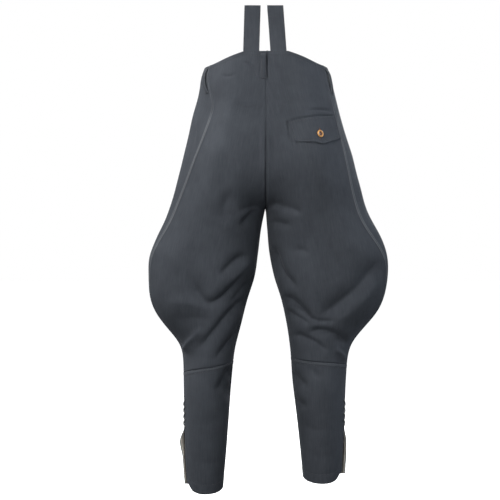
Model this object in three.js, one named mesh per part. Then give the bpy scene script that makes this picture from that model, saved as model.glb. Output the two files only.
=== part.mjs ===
// Riding breeches (jodhpurs) of heavy twill, filled out as worn and open at waist and ankles.
//
// Millimetres, +Z up. The origin is the middle of the waist, where the wearer holds the garment up.
// The front of the garment faces -Y and the seat +Y, so the wearer's left is +X.
// The side seams swing out over the hips and end in the wide wings above the knee. Below the
// knee seam each leg is a narrow calf section, slit on its outer side: the slit is laced at the
// top, and its front edge turns outward lower down, so that the pale facing shows.
import * as THREE from "three";

// ---- Driving dimensions ----------------------------------------------------------------
const CLOTH = 1.8; // wall of the twill with its seam allowances
const SEAM = 0.3; // clearance along every seam, and under every piece that lies on another
const LEFT = 1;
const RIGHT = -1;

const EDGE_BACK = 44; // height of the top edge above the waist line at the centre back
const EDGE_SIDE = 17;
const EDGE_FRONT = 2;
const EDGE_LEVEL = 0.465; // share of the back panel over which the raised back runs level
const EDGE_TURN = 0.25; // keeps the edge's slope straight, seen from behind, where the hip turns forward

const SEAT_Z = -190; // where the centre back seam starts to turn under the seat
const FLY_Z = -225; // where the centre front seam does
const CROTCH_Z = -303;
const CROTCH_Y = -8;

const KNEE = { [LEFT]: { inner: -653, drop: 28 }, [RIGHT]: { inner: -645, drop: 18 } };
const HEM = { [LEFT]: -944, [RIGHT]: -920 };
const HEM_SAG = 11; // the back of the hem is cut lower in the middle
const HEM_CORNER = 12; // and rounded up where it meets the slit

const SLIT_TOP = -735;
const TURN_REACH = 26; // width of the strip that turns outward along the slit's front edge

const PATCH = 1.3; // wall of the flap and the fly, which are made up double
const FACING = { wall: 0.8, columns: 3, top: -815 };
const FLY = { width: 37, length: 176, corner: 30 };
const FLAP = { inner: 51, slant: 11, from_side: 5 };
const LOOP = { width: 11.5, wall: 1.3 };
const STRAP = { width: 36, wall: 2.4, tuck: -12, ease: 1, top: 147, lean: 0.09, fold: 27, turn: 2.2 };
const LACE = { width: 2.4, wall: 1.4, reach: 9, top: -745, drop: 7.4, crossings: 8 };
const BUTTON = { radius: 8.5, wall: 3.2, bevel: 0.9, hole: 1.7, hole_at: 2.1 };
const FLAP_BUTTON = { across: 122, z: -143 };
const WAIST_BUTTON = { across: 19, z: -17 };

// ---- Tables -------------------------------------------------------------------------------
const table = (names, rows) =>
  rows.map((row) => Object.fromEntries(names.split(" ").map((name, i) => [name, row[i]])));

// Half widths of the outline from the centre plane, for the wearer's left and right.
const WIDTHS = table("z outer_left outer_right", [
  [50, 132, 135],
  [18, 139, 142],
  [0, 147, 149],
  [-30, 151, 155],
  [-101, 169, 174],
  [-156, 181, 190],
  [-212, 195, 206],
  [-267, 208, 220],
  [-322, 227, 238],
  [-377, 252, 268],
  [-432, 269, 282],
  [-488, 268, 277],
  [-543, 253, 256],
  [-584, 222, 221],
  [-612, 199, 199],
  [-639, 190, 190],
  [-695, 188, 185],
  [-860, 187, 180],
  [-960, 180, 173],
]);

// Distance of each inseam from the centre plane.
const INSEAM = table("z left right", [
  [-303, 0.4, 0.4],
  [-350, 10, 4],
  [-405, 17, 9],
  [-460, 25, 20],
  [-515, 42, 37],
  [-570, 56, 49],
  [-626, 70, 57],
  [-695, 78, 62],
  [-790, 85, 73],
  [-846, 89, 79],
  [-960, 99, 90],
]);

// Depth of the back and front, how much less deep the centre back seam is, where across the leg
// the deepest points lie (0 the inside, 1 the outside), and how blunt the outer edge is.
const DEPTHS = table("z back front dip back_at front_at blunt", [
  [50, 106, -104, 0.5, 0.34, 0.4, 0.55],
  [0, 111, -112, 1, 0.34, 0.4, 0.55],
  [-60, 122, -119, 1, 0.38, 0.42, 0.55],
  [-120, 137, -121, 3, 0.42, 0.42, 0.55],
  [-190, 148, -118, 9, 0.44, 0.4, 0.52],
  [-240, 143, -114, 12, 0.43, 0.38, 0.48],
  [-303, 123, -112, 12, 0.42, 0.38, 0.42],
  [-350, 109, -110, 12, 0.4, 0.38, 0.36],
  [-405, 101, -106, 12, 0.37, 0.37, 0.31],
  [-460, 97, -101, 12, 0.36, 0.36, 0.3],
  [-520, 90, -97, 12, 0.37, 0.37, 0.32],
  [-570, 79, -90, 12, 0.41, 0.41, 0.4],
  [-612, 70, -81, 12, 0.46, 0.46, 0.5],
  [-653, 66, -72, 12, 0.5, 0.5, 0.55],
  [-710, 68, -63, 12, 0.5, 0.5, 0.55],
  [-800, 58, -54, 12, 0.5, 0.5, 0.55],
  [-960, 45, -49, 12, 0.5, 0.5, 0.55],
]);

// The side seam: how far it lies inside the outline, its depth, the depth of the outline point,
// and how many degrees the back panel bows beyond its chord where it meets the seam.
const SIDE_SEAM = table("z inset_left inset_right y_left y_right y_outer bow", [
  [50, 9, 9, 46, 44, 0, 14],
  [-20, 17, 11, 59, 52, 1, 12],
  [-83, 46, 14, 84, 64, 4, 9],
  [-150, 38, 18, 89, 74, 6, 8],
  [-216, 28, 22, 80, 78, 8, 10],
  [-287, 18, 25, 59, 72, 9, 12],
  [-352, 14, 26, 45, 59, 9, 14],
  [-400, 6, 13, 28, 38, 8, 24],
  [-441, 3, 3.5, 18, 20, 7, 28],
  [-480, 1.5, 1.5, 13, 14, 4, 30],
  [-560, 1, 1, 8, 8, -4, 30],
  [-612, 0.8, 0.8, 4, 4, -9, 27],
  [-653, 0.6, 0.6, 2, 2, -13, 26],
  [-960, 0.6, 0.6, -2, -2, -17, 26],
]);

// The slit: how far each edge is cut back from the seam line, and how far the front edge turns
// out on the left and the right leg.
const SLIT = table("z back front turn_left turn_right", [
  [-600, SEAM / 2, SEAM / 2, 0, 0],
  [SLIT_TOP, SEAM / 2, SEAM / 2, 0, 0],
  [-748, 2, 2, 0, 0],
  [-806, 2.6, 2.6, 0, 0],
  [-840, 5.5, 2.6, 7, 4],
  [-880, 6.5, 2.6, 3, 5],
  [-915, 4.5, 2.6, 3, 4.5],
  [-960, 3.5, 2.6, 2, 4],
]);

// Large folds: soft troughs (negative height) and ridges along a line, seen from back or front.
// x is the distance from the centre plane.
const FOLDS = table("side panel x1 z1 x2 z2 x3 z3 width height", [
  [LEFT, "back", 8, -312, 40, -318, 74, -300, 24, -6],
  [LEFT, "back", 42, -392, 76, -425, 112, -448, 24, -5],
  [LEFT, "back", 62, -430, 92, -470, 124, -500, 22, 5],
  [LEFT, "back", 72, -462, 106, -505, 150, -492, 20, -6],
  [LEFT, "back", 100, -500, 150, -540, 190, -575, 26, 6],
  [LEFT, "back", 60, -488, 100, -550, 152, -612, 20, -6],
  [RIGHT, "back", 4, -300, 40, -316, 80, -312, 22, -6],
  [RIGHT, "back", 28, -420, 52, -455, 78, -480, 22, -5],
  [RIGHT, "back", 44, -490, 92, -538, 152, -556, 22, -7],
  [RIGHT, "back", 96, -545, 160, -548, 226, -500, 28, 6],
  [RIGHT, "back", 90, -566, 128, -560, 170, -590, 20, -6],
  [RIGHT, "back", 60, -575, 100, -590, 150, -620, 18, -5],
  [LEFT, "front", 40, -400, 84, -440, 130, -470, 26, -5],
  [LEFT, "front", 52, -500, 104, -548, 168, -560, 22, -7],
  [LEFT, "front", 70, -575, 112, -596, 160, -630, 20, -5],
  [RIGHT, "front", 36, -404, 80, -446, 128, -480, 26, -5],
  [RIGHT, "front", 48, -510, 100, -556, 164, -564, 22, -7],
  [RIGHT, "front", 62, -584, 104, -604, 152, -634, 20, -5],
]);

// The flap's top and bottom edges across its width, which runs from near the centre to the side.
const FLAP_EDGE = table("across top bottom", [
  [0, -117, -157],
  [0.05, -115.7, -161.3],
  [0.2, -111.5, -162.3],
  [0.36, -107.6, -161.6],
  [0.5, -104.6, -165.5],
  [0.64, -102.6, -161],
  [0.9, -99.8, -153],
  [1, -99, -149],
]);

// Straps: distance of the middle from the centre plane at the top edge, and lean to the side.
const STRAPS = table("name middle tilt", [
  ["strap_left", 33, -0.03],
  ["strap_right", -28, 0.07],
]);

// Belt loops: place across (left of the centre back, or forward of the side seam), top end, length,
// how far the loop stands off, and how far its lower end lies back (or right) of its top.
const LOOPS = table("name side at_centre across top length stand_off crook", [
  ["belt_loop_back", LEFT, true, 6.5, 42, 61, 8.5, 2.5],
  ["belt_loop_left", LEFT, false, 6, 15, 61, 3.6, -8],
  ["belt_loop_right", RIGHT, false, 6, 15, 61, 3.6, -4],
]);

// ---- Smooth curves through the tables (Steffen's monotone cubic: no overshoot) ------------
function curve(rows, key, name) {
  const sorted = [...rows].sort((a, b) => a[key] - b[key]);
  const at = sorted.map((row) => row[key]);
  const value = sorted.map((row) => row[name]);
  const step = at.slice(1).map((next, i) => next - at[i]);
  const rise = step.map((h, i) => (value[i + 1] - value[i]) / h);
  const slope = at.map((_, i) => {
    if (i === 0) return rise[0];
    if (i === at.length - 1) return rise[i - 1];
    const mean = (rise[i - 1] * step[i] + rise[i] * step[i - 1]) / (step[i - 1] + step[i]);
    const limit = Math.min(Math.abs(rise[i - 1]), Math.abs(rise[i]), Math.abs(mean) / 2);
    return (Math.sign(rise[i - 1]) + Math.sign(rise[i])) * limit;
  });
  return (wanted) => {
    const clamped = Math.min(at[at.length - 1], Math.max(at[0], wanted));
    let i = 0;
    while (i < step.length - 1 && clamped > at[i + 1]) i++;
    const h = step[i];
    const d = clamped - at[i];
    const c = (3 * rise[i] - 2 * slope[i] - slope[i + 1]) / h;
    const b = (slope[i] + slope[i + 1] - 2 * rise[i]) / (h * h);
    return value[i] + d * (slope[i] + d * (c + d * b));
  };
}
const curves = (rows, key) =>
  Object.fromEntries(Object.keys(rows[0]).map((name) => [name, curve(rows, key, name)]));
const width = curves(WIDTHS, "z");
const inseam = curves(INSEAM, "z");
const depth = curves(DEPTHS, "z");
const seam = curves(SIDE_SEAM, "z");
const slit = curves(SLIT, "z");
const flapEdge = curves(FLAP_EDGE, "across");
const nameOf = (side) => (side === LEFT ? "left" : "right");

const lerp = (a, b, t) => a + (b - a) * t;
const ramp = (t) => {
  const c = Math.max(0, Math.min(1, t));
  return c * c * (3 - 2 * c);
};

// ---- One half's horizontal section -----------------------------------------------------------
// Depth of the centre seam above the crotch, or of the inseam below it, and how far the seam has
// turned under (0 above, 1 at the crotch).
function centreSeam(panel, z) {
  const turn = panel === "back" ? SEAT_Z : FLY_Z;
  const at = Math.max(z, turn);
  const y = panel === "back" ? depth.back(at) - depth.dip(at) : depth.front(at) + 1;
  const under = Math.min(1, Math.max(0, (turn - z) / (turn - CROTCH_Z)));
  return { y: lerp(CROTCH_Y, y, Math.sqrt(1 - under * under)), under };
}

function bezier(from, out, into, to, steps) {
  const at = (t, k) =>
    (1 - t) ** 3 * from[k] + 3 * (1 - t) ** 2 * t * out[k] + 3 * (1 - t) * t * t * into[k] + t ** 3 * to[k];
  return Array.from({ length: steps + 1 }, (_, i) => [at(i / steps, 0), at(i / steps, 1)]);
}

// A line of points with its running length.
function measured(points) {
  const along = [0];
  for (let i = 1; i < points.length; i++) {
    const [a, b] = [points[i - 1], points[i]];
    along.push(along[i - 1] + Math.hypot(b[0] - a[0], b[1] - a[1]));
  }
  return { points, along, length: along[along.length - 1] };
}

// From the centre seam or inseam round to the deepest point of the back or front. High up the curve
// leaves the centre level. Under the seat it is what is left of the whole leg's curve, cut off at
// the centre seam, so that nothing but the cleft changes as the seam turns under.
function innerCurve(panel, inner, z, deepest) {
  const sign = panel === "back" ? 1 : -1;
  const { y, under } = centreSeam(panel, z);
  const dx = deepest[0] - inner;
  const level = [[inner, y], [inner + 0.55 * dx, y], [deepest[0] - 0.5 * dx, deepest[1]], deepest];
  const full = 0.55 * Math.abs(deepest[1] - CROTCH_Y);
  const leg = [[inner, CROTCH_Y], [inner, CROTCH_Y + sign * full], level[2], deepest];
  const rest = cutBezier(leg, y);
  rest[0][0] = inner;
  const mixed = level.map((point, i) => [0, 1].map((k) => lerp(point[k], rest[i][k], under * under)));
  return measured(bezier(...mixed, 14));
}

// What is left of a cubic curve beyond the place where it reaches a depth.
function cutBezier([a, b, c, d], y) {
  const mix = (p, q, t) => [lerp(p[0], q[0], t), lerp(p[1], q[1], t)];
  const split = (t) => {
    const [ab, bc, cd] = [mix(a, b, t), mix(b, c, t), mix(c, d, t)];
    const [abc, bcd] = [mix(ab, bc, t), mix(bc, cd, t)];
    return [mix(abc, bcd, t), bcd, cd, d];
  };
  let [low, high] = [0, 1];
  for (let i = 0; i < 24; i++) {
    const middle = (low + high) / 2;
    const beyond = (split(middle)[0][1] - y) * Math.sign(d[1] - a[1]) > 0;
    [low, high] = beyond ? [low, middle] : [middle, high];
  }
  return split(low);
}

// From the deepest point of the back out to the side seam.
function backOuterCurve(deepest, corner, bow) {
  const dx = corner[0] - deepest[0];
  const dy = deepest[1] - corner[1];
  const arrive = Math.atan2(dy, dx) + THREE.MathUtils.degToRad(bow);
  const reach = 0.42 * Math.hypot(dx, dy);
  const into = [corner[0] - reach * Math.cos(arrive), corner[1] + reach * Math.sin(arrive)];
  return measured(bezier(deepest, [deepest[0] + 0.45 * dx, deepest[1]], into, corner, 14));
}

// From the deepest point of the front round the outer edge and back to the side seam.
function frontOuterCurve(deepest, outermost, corner, blunt) {
  const round = bezier(
    deepest,
    [lerp(deepest[0], outermost[0], 0.55), deepest[1]],
    [outermost[0], lerp(outermost[1], deepest[1], blunt)],
    outermost,
    14,
  );
  const [dx, dy] = [outermost[0] - corner[0], corner[1] - outermost[1]];
  const arrive = Math.atan2(dy, dx) - 0.12;
  const reach = 0.36 * Math.hypot(dx, dy);
  const into = [corner[0] + reach * Math.cos(arrive), corner[1] - reach * Math.sin(arrive)];
  const overHip = bezier(outermost, [outermost[0], outermost[1] + reach], into, corner, 8);
  return measured([...round, ...overHip.slice(1)]);
}

const sections = new Map();
function section(side, z) {
  const key = side + "/" + z.toFixed(2);
  if (sections.has(key)) return sections.get(key);
  const outer = width["outer_" + nameOf(side)](z);
  const inner = z > CROTCH_Z ? 0 : inseam[nameOf(side)](z);
  const span = outer - inner;
  const backmost = [inner + depth.back_at(z) * span, depth.back(z)];
  const frontmost = [inner + depth.front_at(z) * span, depth.front(z)];
  const corner = [outer - seam["inset_" + nameOf(side)](z), seam["y_" + nameOf(side)](z)];
  const outermost = [outer, seam.y_outer(z)];
  const made = {
    back: {
      inner: innerCurve("back", inner, z, backmost),
      outer: backOuterCurve(backmost, corner, seam.bow(z)),
    },
    front: {
      inner: innerCurve("front", inner, z, frontmost),
      outer: frontOuterCurve(frontmost, outermost, corner, depth.blunt(z)),
    },
  };
  sections.set(key, made);
  return made;
}

// ---- The cloth's surface -----------------------------------------------------------------------
// A place on a panel is its height and its share of the way from the centre seam or inseam (0)
// to the side seam (1). The deepest point of the section lies at the share DEEPEST.
const DEEPEST = { back: 0.45, front: 0.42 };

function surfacePoint(side, panel, share, z) {
  const { inner, outer } = section(side, z)[panel];
  const deepest = DEEPEST[panel];
  const line = share < deepest ? inner : outer;
  const part = share < deepest ? share / deepest : (share - deepest) / (1 - deepest);
  const distance = Math.max(0, Math.min(1, part)) * line.length;
  let i = 1;
  while (i < line.along.length - 1 && line.along[i] < distance) i++;
  const t = (distance - line.along[i - 1]) / (line.along[i] - line.along[i - 1]);
  const [a, b] = [line.points[i - 1], line.points[i]];
  return new THREE.Vector3(side * lerp(a[0], b[0], t), lerp(a[1], b[1], t), z);
}

// The share that lies a distance from the centre, or a distance from the side seam.
function shareFromCentre(side, panel, distance, z) {
  const { inner, outer } = section(side, z)[panel];
  const deepest = DEEPEST[panel];
  if (distance < inner.length) return (deepest * distance) / inner.length;
  return deepest + ((1 - deepest) * (distance - inner.length)) / outer.length;
}
const shareFromSide = (side, panel, distance, z) =>
  1 - ((1 - DEEPEST[panel]) * distance) / section(side, z)[panel].outer.length;

// The outward normal that two edge directions of a panel make.
function outwardNormal(side, panel, down, across) {
  const sign = panel === "back" ? -side : side;
  return down.clone().cross(across).multiplyScalar(sign).normalize();
}

function surfaceNormal(side, panel, share, z) {
  const at = (s, h) => surfacePoint(side, panel, Math.max(0, Math.min(1, s)), h);
  const across = at(share + 0.01, z).sub(at(share - 0.01, z));
  const down = at(share, z - 2).sub(at(share, z + 2));
  return outwardNormal(side, panel, down, across);
}

// Distance in the x-z plane from a fold's line, a curve through its three points, and how far
// along the line the nearest point lies.
function nearFold(fold, x, z) {
  let best = { distance: Infinity, along: 0 };
  const steps = 24;
  const through = (a, b, c, t) => {
    const control = 2 * b - (a + c) / 2;
    return lerp(lerp(a, control, t), lerp(control, c, t), t);
  };
  for (let i = 0; i <= steps; i++) {
    const dx = through(fold.x1, fold.x2, fold.x3, i / steps) - x;
    const dz = through(fold.z1, fold.z2, fold.z3, i / steps) - z;
    const distance = Math.hypot(dx, dz);
    if (distance < best.distance) best = { distance, along: i / steps };
  }
  return best;
}

function foldHeight(side, panel, point) {
  let height = 0;
  for (const fold of FOLDS) {
    if (fold.side !== side || fold.panel !== panel) continue;
    const { distance, along } = nearFold(fold, side * point.x, point.z);
    const across = distance / fold.width;
    height += fold.height * Math.exp(-across * across) * Math.sin(Math.PI * lerp(0.1, 0.9, along));
  }
  return height;
}

// The cloth's outer face: the plain surface with its folds and the turned edge of the slit.
// Folds fade out at the side seam and the centre, where the panels meet.
function clothPoint(side, panel, share, z) {
  const point = surfacePoint(side, panel, share, z);
  const { inner, outer } = section(side, z)[panel];
  const fromSide = ((1 - share) / (1 - DEEPEST[panel])) * outer.length;
  const fromCentre = (share / DEEPEST[panel]) * inner.length;
  let out = foldHeight(side, panel, point) * ramp(Math.min(fromSide, fromCentre) / 40);
  if (panel === "front" && z < SLIT_TOP) {
    const fromEdge = fromSide - slit.front(z);
    out += slit["turn_" + nameOf(side)](z) * Math.max(0, 1 - fromEdge / TURN_REACH) ** 2;
  }
  return point.addScaledVector(surfaceNormal(side, panel, share, z), out);
}

// ---- Grids and walls -----------------------------------------------------------------------
// Heights of a panel's rows at each share.
function topEdge(panel, share) {
  if (panel === "front") return lerp(EDGE_FRONT, EDGE_SIDE, ramp(share));
  const slope = Math.max(0, (share - EDGE_LEVEL) / (1 - EDGE_LEVEL));
  return lerp(EDGE_BACK, EDGE_SIDE, slope * (1 + EDGE_TURN * (1 - slope)));
}
const kneeSeam = (side, share) => KNEE[side].inner - KNEE[side].drop * share;
function hemEdge(side, panel, share) {
  const corner = HEM_CORNER * ramp((share - 0.72) / 0.28);
  if (panel === "front") return HEM[side] + corner / 2;
  return HEM[side] - HEM_SAG * Math.sin(Math.PI * Math.min(1, share * 1.12)) + corner;
}

const HIP_ROWS = 9;
const SEAT_ROWS = 7;
const THIGH_ROWS = 17;
const CALF_ROWS = 15;
function thighRows(side, panel) {
  const rows = [];
  for (let i = 0; i < HIP_ROWS; i++)
    rows.push((share) => lerp(topEdge(panel, share), SEAT_Z, i / HIP_ROWS));
  for (let i = 0; i < SEAT_ROWS; i++) {
    const z = lerp(SEAT_Z, CROTCH_Z, Math.sin((Math.PI / 2) * (i / SEAT_ROWS)));
    rows.push(() => z);
  }
  for (let i = 0; i <= THIGH_ROWS; i++) {
    const t = i / THIGH_ROWS;
    rows.push((share) => lerp(CROTCH_Z, kneeSeam(side, share) + SEAM / 2, t * lerp(0.75, 1, t)));
  }
  return rows;
}
function calfRows(side, panel) {
  return Array.from({ length: CALF_ROWS + 1 }, (_, i) => (share) => {
    const top = kneeSeam(side, share) - SEAM / 2;
    return lerp(top, hemEdge(side, panel, share), i / CALF_ROWS);
  });
}

// Shares of a panel's columns, closer together towards the side seam.
const COLUMNS = { back: 11, front: 12 };
const columnShares = (panel) =>
  Array.from({ length: COLUMNS[panel] + 1 }, (_, j) => 1 - (1 - j / COLUMNS[panel]) ** 1.25);

// The outer points of one half's back and front panels, row by row.
function halfGrid(side, rowsOf) {
  const gridOf = (panel) =>
    rowsOf(side, panel).map((height) =>
      columnShares(panel).map((share) => {
        const z = height(share);
        const cut = 1 - shareFromSide(side, panel, slit[panel](z), z);
        return clothPoint(side, panel, share * (1 - cut), z);
      }),
    );
  return { back: gridOf("back"), front: gridOf("front") };
}

// Normals at the points, shared by both panels where they meet, so that their edges mitre.
function halfNormals(side, grid) {
  const clampRow = (g, i) => g[Math.max(0, Math.min(g.length - 1, i))];
  const normals = {};
  for (const panel of ["back", "front"]) {
    const g = grid[panel];
    normals[panel] = g.map((row, i) =>
      row.map((_, j) => {
        const across = row[Math.min(j + 1, row.length - 1)].clone().sub(row[Math.max(j - 1, 0)]);
        const down = clampRow(g, i + 1)[j].clone().sub(clampRow(g, i - 1)[j]);
        return outwardNormal(side, panel, down, across);
      }),
    );
  }
  const meet = (a, i, b, j) => {
    const mitre = a[i].clone().add(b[j]).normalize();
    a[i] = mitre;
    b[j] = mitre;
  };
  grid.back.forEach((row, i) => {
    const [back, front] = [normals.back[i], normals.front[i]];
    const z = row[0].z;
    if (row[row.length - 1].z > SLIT_TOP) meet(back, back.length - 1, front, front.length - 1);
    if (z < CROTCH_Z - 0.01) meet(back, 0, front, 0);
    else if (z < CROTCH_Z + 0.01) back[0] = front[0] = new THREE.Vector3(0, 0, -1);
    else for (const normal of [back[0], front[0]]) normal.setX(0).normalize();
  });
  return normals;
}

// Half the seam's clearance at the centre seam, and at the inseam below the crotch.
function clearCentre(side, grid) {
  for (const panel of ["back", "front"])
    for (const row of grid[panel]) {
      const [edge, next] = row;
      if (edge.z < CROTCH_Z + 0.01) {
        const inward = next.clone().sub(edge).setZ(0).normalize();
        edge.addScaledVector(inward, SEAM / 2);
      }
      for (const point of row) if (side * point.x < SEAM / 2) point.x = (side * SEAM) / 2;
    }
}

// A closed wall: an outer grid, the same grid moved in along its normals, and the rim between.
function wall(outer, normals, thickness) {
  const rows = outer.length;
  const columns = outer[0].length;
  const inner = outer.map((row, i) =>
    row.map((point, j) => point.clone().addScaledVector(normals[i][j], -thickness)),
  );
  const positions = [...outer.flat(), ...inner.flat()].flatMap((p) => [p.x, p.y, p.z]);
  const at = (layer, i, j) => (layer * rows + i) * columns + j;
  const index = [];
  const quad = (a, b, c, d) => index.push(a, b, c, a, c, d);
  for (let i = 0; i < rows - 1; i++)
    for (let j = 0; j < columns - 1; j++) {
      quad(at(0, i, j), at(0, i + 1, j), at(0, i + 1, j + 1), at(0, i, j + 1));
      quad(at(1, i, j), at(1, i, j + 1), at(1, i + 1, j + 1), at(1, i + 1, j));
    }
  const [bottom, side] = [rows - 1, columns - 1];
  for (let j = 0; j < side; j++) {
    quad(at(0, 0, j), at(0, 0, j + 1), at(1, 0, j + 1), at(1, 0, j));
    quad(at(0, bottom, j + 1), at(0, bottom, j), at(1, bottom, j), at(1, bottom, j + 1));
  }
  for (let i = 0; i < bottom; i++) {
    quad(at(0, i + 1, 0), at(0, i, 0), at(1, i, 0), at(1, i + 1, 0));
    quad(at(0, i, side), at(0, i + 1, side), at(1, i + 1, side), at(1, i, side));
  }
  return facingOut(positions, index);
}

// The geometry, with its faces turned round if they point inwards.
function facingOut(positions, index) {
  const point = (i) => new THREE.Vector3().fromArray(positions, 3 * i);
  let volume = 0;
  for (let i = 0; i < index.length; i += 3)
    volume += point(index[i]).dot(point(index[i + 1]).cross(point(index[i + 2])));
  if (volume < 0)
    for (let i = 0; i < index.length; i += 3) [index[i + 1], index[i + 2]] = [index[i + 2], index[i + 1]];
  const geometry = new THREE.BufferGeometry();
  geometry.setAttribute("position", new THREE.Float32BufferAttribute(positions, 3));
  geometry.setIndex(index);
  return geometry;
}

// A wall that lies on the cloth: place(across, down) gives the side, panel, share and height of
// each point, and how far the wall's outer face stands off the cloth there.
function patch(columns, rows, thickness, place) {
  const outer = [];
  const normals = [];
  for (let i = 0; i <= rows; i++) {
    const spots = Array.from({ length: columns + 1 }, (_, j) => place(j / columns, i / rows));
    normals.push(spots.map((s) => surfaceNormal(s.side, s.panel, s.share, s.z)));
    outer.push(
      spots.map((s, j) => clothPoint(s.side, s.panel, s.share, s.z).addScaledVector(normals[i][j], s.out)),
    );
  }
  return wall(outer, normals, thickness);
}

// ---- Materials -----------------------------------------------------------------------------
const twill = new THREE.MeshStandardMaterial({ color: 0x45494f, roughness: 0.85, metalness: 0 });
const facingCloth = new THREE.MeshStandardMaterial({ color: 0xb9b3a6, roughness: 0.9, metalness: 0 });
const wood = new THREE.MeshStandardMaterial({ color: 0xc08a4a, roughness: 0.5, metalness: 0 });
const laceCord = new THREE.MeshStandardMaterial({ color: 0x33363b, roughness: 0.9, metalness: 0 });

const breeches = new THREE.Group();
breeches.name = "breeches";
function add(name, geometry, material) {
  const mesh = new THREE.Mesh(geometry, material);
  mesh.name = name;
  breeches.add(mesh);
  return mesh;
}

// ---- Legs: thigh panels down to the knee seam, calf panels below it -------------------------
function addHalf(side, prefix, rowsOf) {
  const grid = halfGrid(side, rowsOf);
  const normals = halfNormals(side, grid);
  clearCentre(side, grid);
  for (const panel of ["back", "front"])
    add(prefix + panel + "_" + nameOf(side), wall(grid[panel], normals[panel], CLOTH), twill);
  return { grid, normals };
}

// The facing lines the strip of the front panel along the slit, just inside its wall.
function addFacing(side, calf) {
  const rows = calf.grid.front.filter((row) => row[row.length - 1].z < FACING.top).length;
  const strip = (g) => g.slice(-rows).map((row) => row.slice(-FACING.columns));
  const normals = strip(calf.normals.front);
  const outer = strip(calf.grid.front).map((row, i) =>
    row.map((point, j) => point.clone().addScaledVector(normals[i][j], -CLOTH - SEAM)),
  );
  add("facing_" + nameOf(side), wall(outer, normals, FACING.wall), facingCloth);
}

for (const side of [LEFT, RIGHT]) {
  addHalf(side, "", thighRows);
  addFacing(side, addHalf(side, "calf_", calfRows));
}

// ---- Places on the cloth across a seam -------------------------------------------------------
// A distance forward (positive, onto the front panel) or back from the side seam.
function acrossSideSeam(side, distance, z) {
  const panel = distance > 0 ? "front" : "back";
  return { side, panel, share: shareFromSide(side, panel, Math.abs(distance), z), z };
}
// A distance to the left (positive) or right of the centre back seam.
function acrossCentreBack(distance, z) {
  const side = distance < 0 ? RIGHT : LEFT;
  return { side, panel: "back", share: shareFromCentre(side, "back", Math.abs(distance), z), z };
}

// ---- Lace: a flat cord in a zigzag across the slit -------------------------------------------
// Along a crossing its edges lie above and below the middle. At a turn they lie level with it.
function addLace(side) {
  const { width: cord, wall: thickness, reach, top, drop, crossings } = LACE;
  const perCrossing = 4;
  const slope = Math.atan2(drop, 2 * reach);
  const place = (u, v) => {
    const step = Math.round(v * crossings * perCrossing);
    const run = Math.min(Math.floor(step / perCrossing), crossings - 1);
    const way = run % 2 === 0 ? 1 : -1;
    const along = step / perCrossing - run;
    const middle = way * reach * (2 * along - 1);
    const z = top - drop * (run + along);
    const edge = (u - 0.5) * cord;
    const atTurn = along === 0 && run > 0;
    const spot = atTurn
      ? acrossSideSeam(side, middle + edge / (2 * Math.sin(slope)), z)
      : acrossSideSeam(side, middle, z + (way * edge) / Math.cos(slope));
    return { ...spot, out: SEAM + thickness };
  };
  add("lace_" + nameOf(side), patch(1, crossings * perCrossing, thickness, place), laceCord);
}
addLace(LEFT);
addLace(RIGHT);

// ---- Straps: tucked inside the back edge, folded over inward at the top ----------------------
function addStrap({ name, middle, tilt }) {
  const { width: across, wall: thickness, tuck, ease, top, lean, fold, turn } = STRAP;
  const bodyY = (x, z) => {
    const spot = acrossCentreBack(x, z);
    return surfacePoint(spot.side, "back", spot.share, z).y - CLOTH - ease - thickness / 2;
  };
  const path = [];
  for (const z of [tuck, tuck / 2 + EDGE_BACK / 4, EDGE_BACK]) path.push({ z, back: 0 });
  for (const t of [0.33, 0.66, 1]) path.push({ z: lerp(EDGE_BACK, top - turn, t), back: 0 });
  for (const t of [0.25, 0.5, 0.75, 1])
    path.push({ z: top - turn + turn * Math.sin(Math.PI * t), back: turn * (1 - Math.cos(Math.PI * t)) });
  for (const t of [0.5, 1]) path.push({ z: top - turn - fold * t, back: 2 * turn });
  const middles = path.map(({ z, back }) =>
    [-0.5, -0.17, 0.17, 0.5].map((u) => {
      const x = middle + tilt * (z - EDGE_BACK) + u * across;
      const y = bodyY(x, Math.min(z, EDGE_BACK)) - lean * Math.max(0, z - EDGE_BACK) - back;
      return new THREE.Vector3(x, y, z);
    }),
  );
  const normals = middles.map((row, i) =>
    row.map((_, j) => {
      const next = middles[Math.min(i + 1, middles.length - 1)][j];
      const last = middles[Math.max(i - 1, 0)][j];
      const along = next.clone().sub(last);
      return new THREE.Vector3(0, -along.z, along.y).normalize();
    }),
  );
  const outer = middles.map((row, i) =>
    row.map((point, j) => point.clone().addScaledVector(normals[i][j], thickness / 2)),
  );
  add(name, wall(outer, normals, thickness), twill);
}
STRAPS.forEach(addStrap);

// ---- Belt loops: strips sewn down at both ends, standing off in between ----------------------
function addLoop(loop) {
  const place = (u, v) => {
    const z = loop.top - loop.length * v;
    const across = loop.across + (u - 0.5) * LOOP.width - loop.crook * v;
    const spot = loop.at_centre ? acrossCentreBack(across, z) : acrossSideSeam(loop.side, across, z);
    const bow = 1 - Math.abs(2 * v - 1) ** 3;
    return { ...spot, out: SEAM + LOOP.wall + loop.stand_off * bow ** 2 };
  };
  add(loop.name, patch(2, 14, LOOP.wall, place), twill);
}
LOOPS.forEach(addLoop);

// ---- Pocket flap, fly and buttons --------------------------------------------------------------
function addFlap() {
  const place = (u, v) => {
    const z = lerp(flapEdge.top(u), flapEdge.bottom(u), v);
    const inner = shareFromCentre(RIGHT, "back", FLAP.inner + FLAP.slant * v, z);
    const outer = shareFromSide(RIGHT, "back", FLAP.from_side, z);
    return { side: RIGHT, panel: "back", share: lerp(inner, outer, u), z, out: SEAM + PATCH };
  };
  add("pocket_flap", patch(14, 5, PATCH, place), twill);
}

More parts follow.
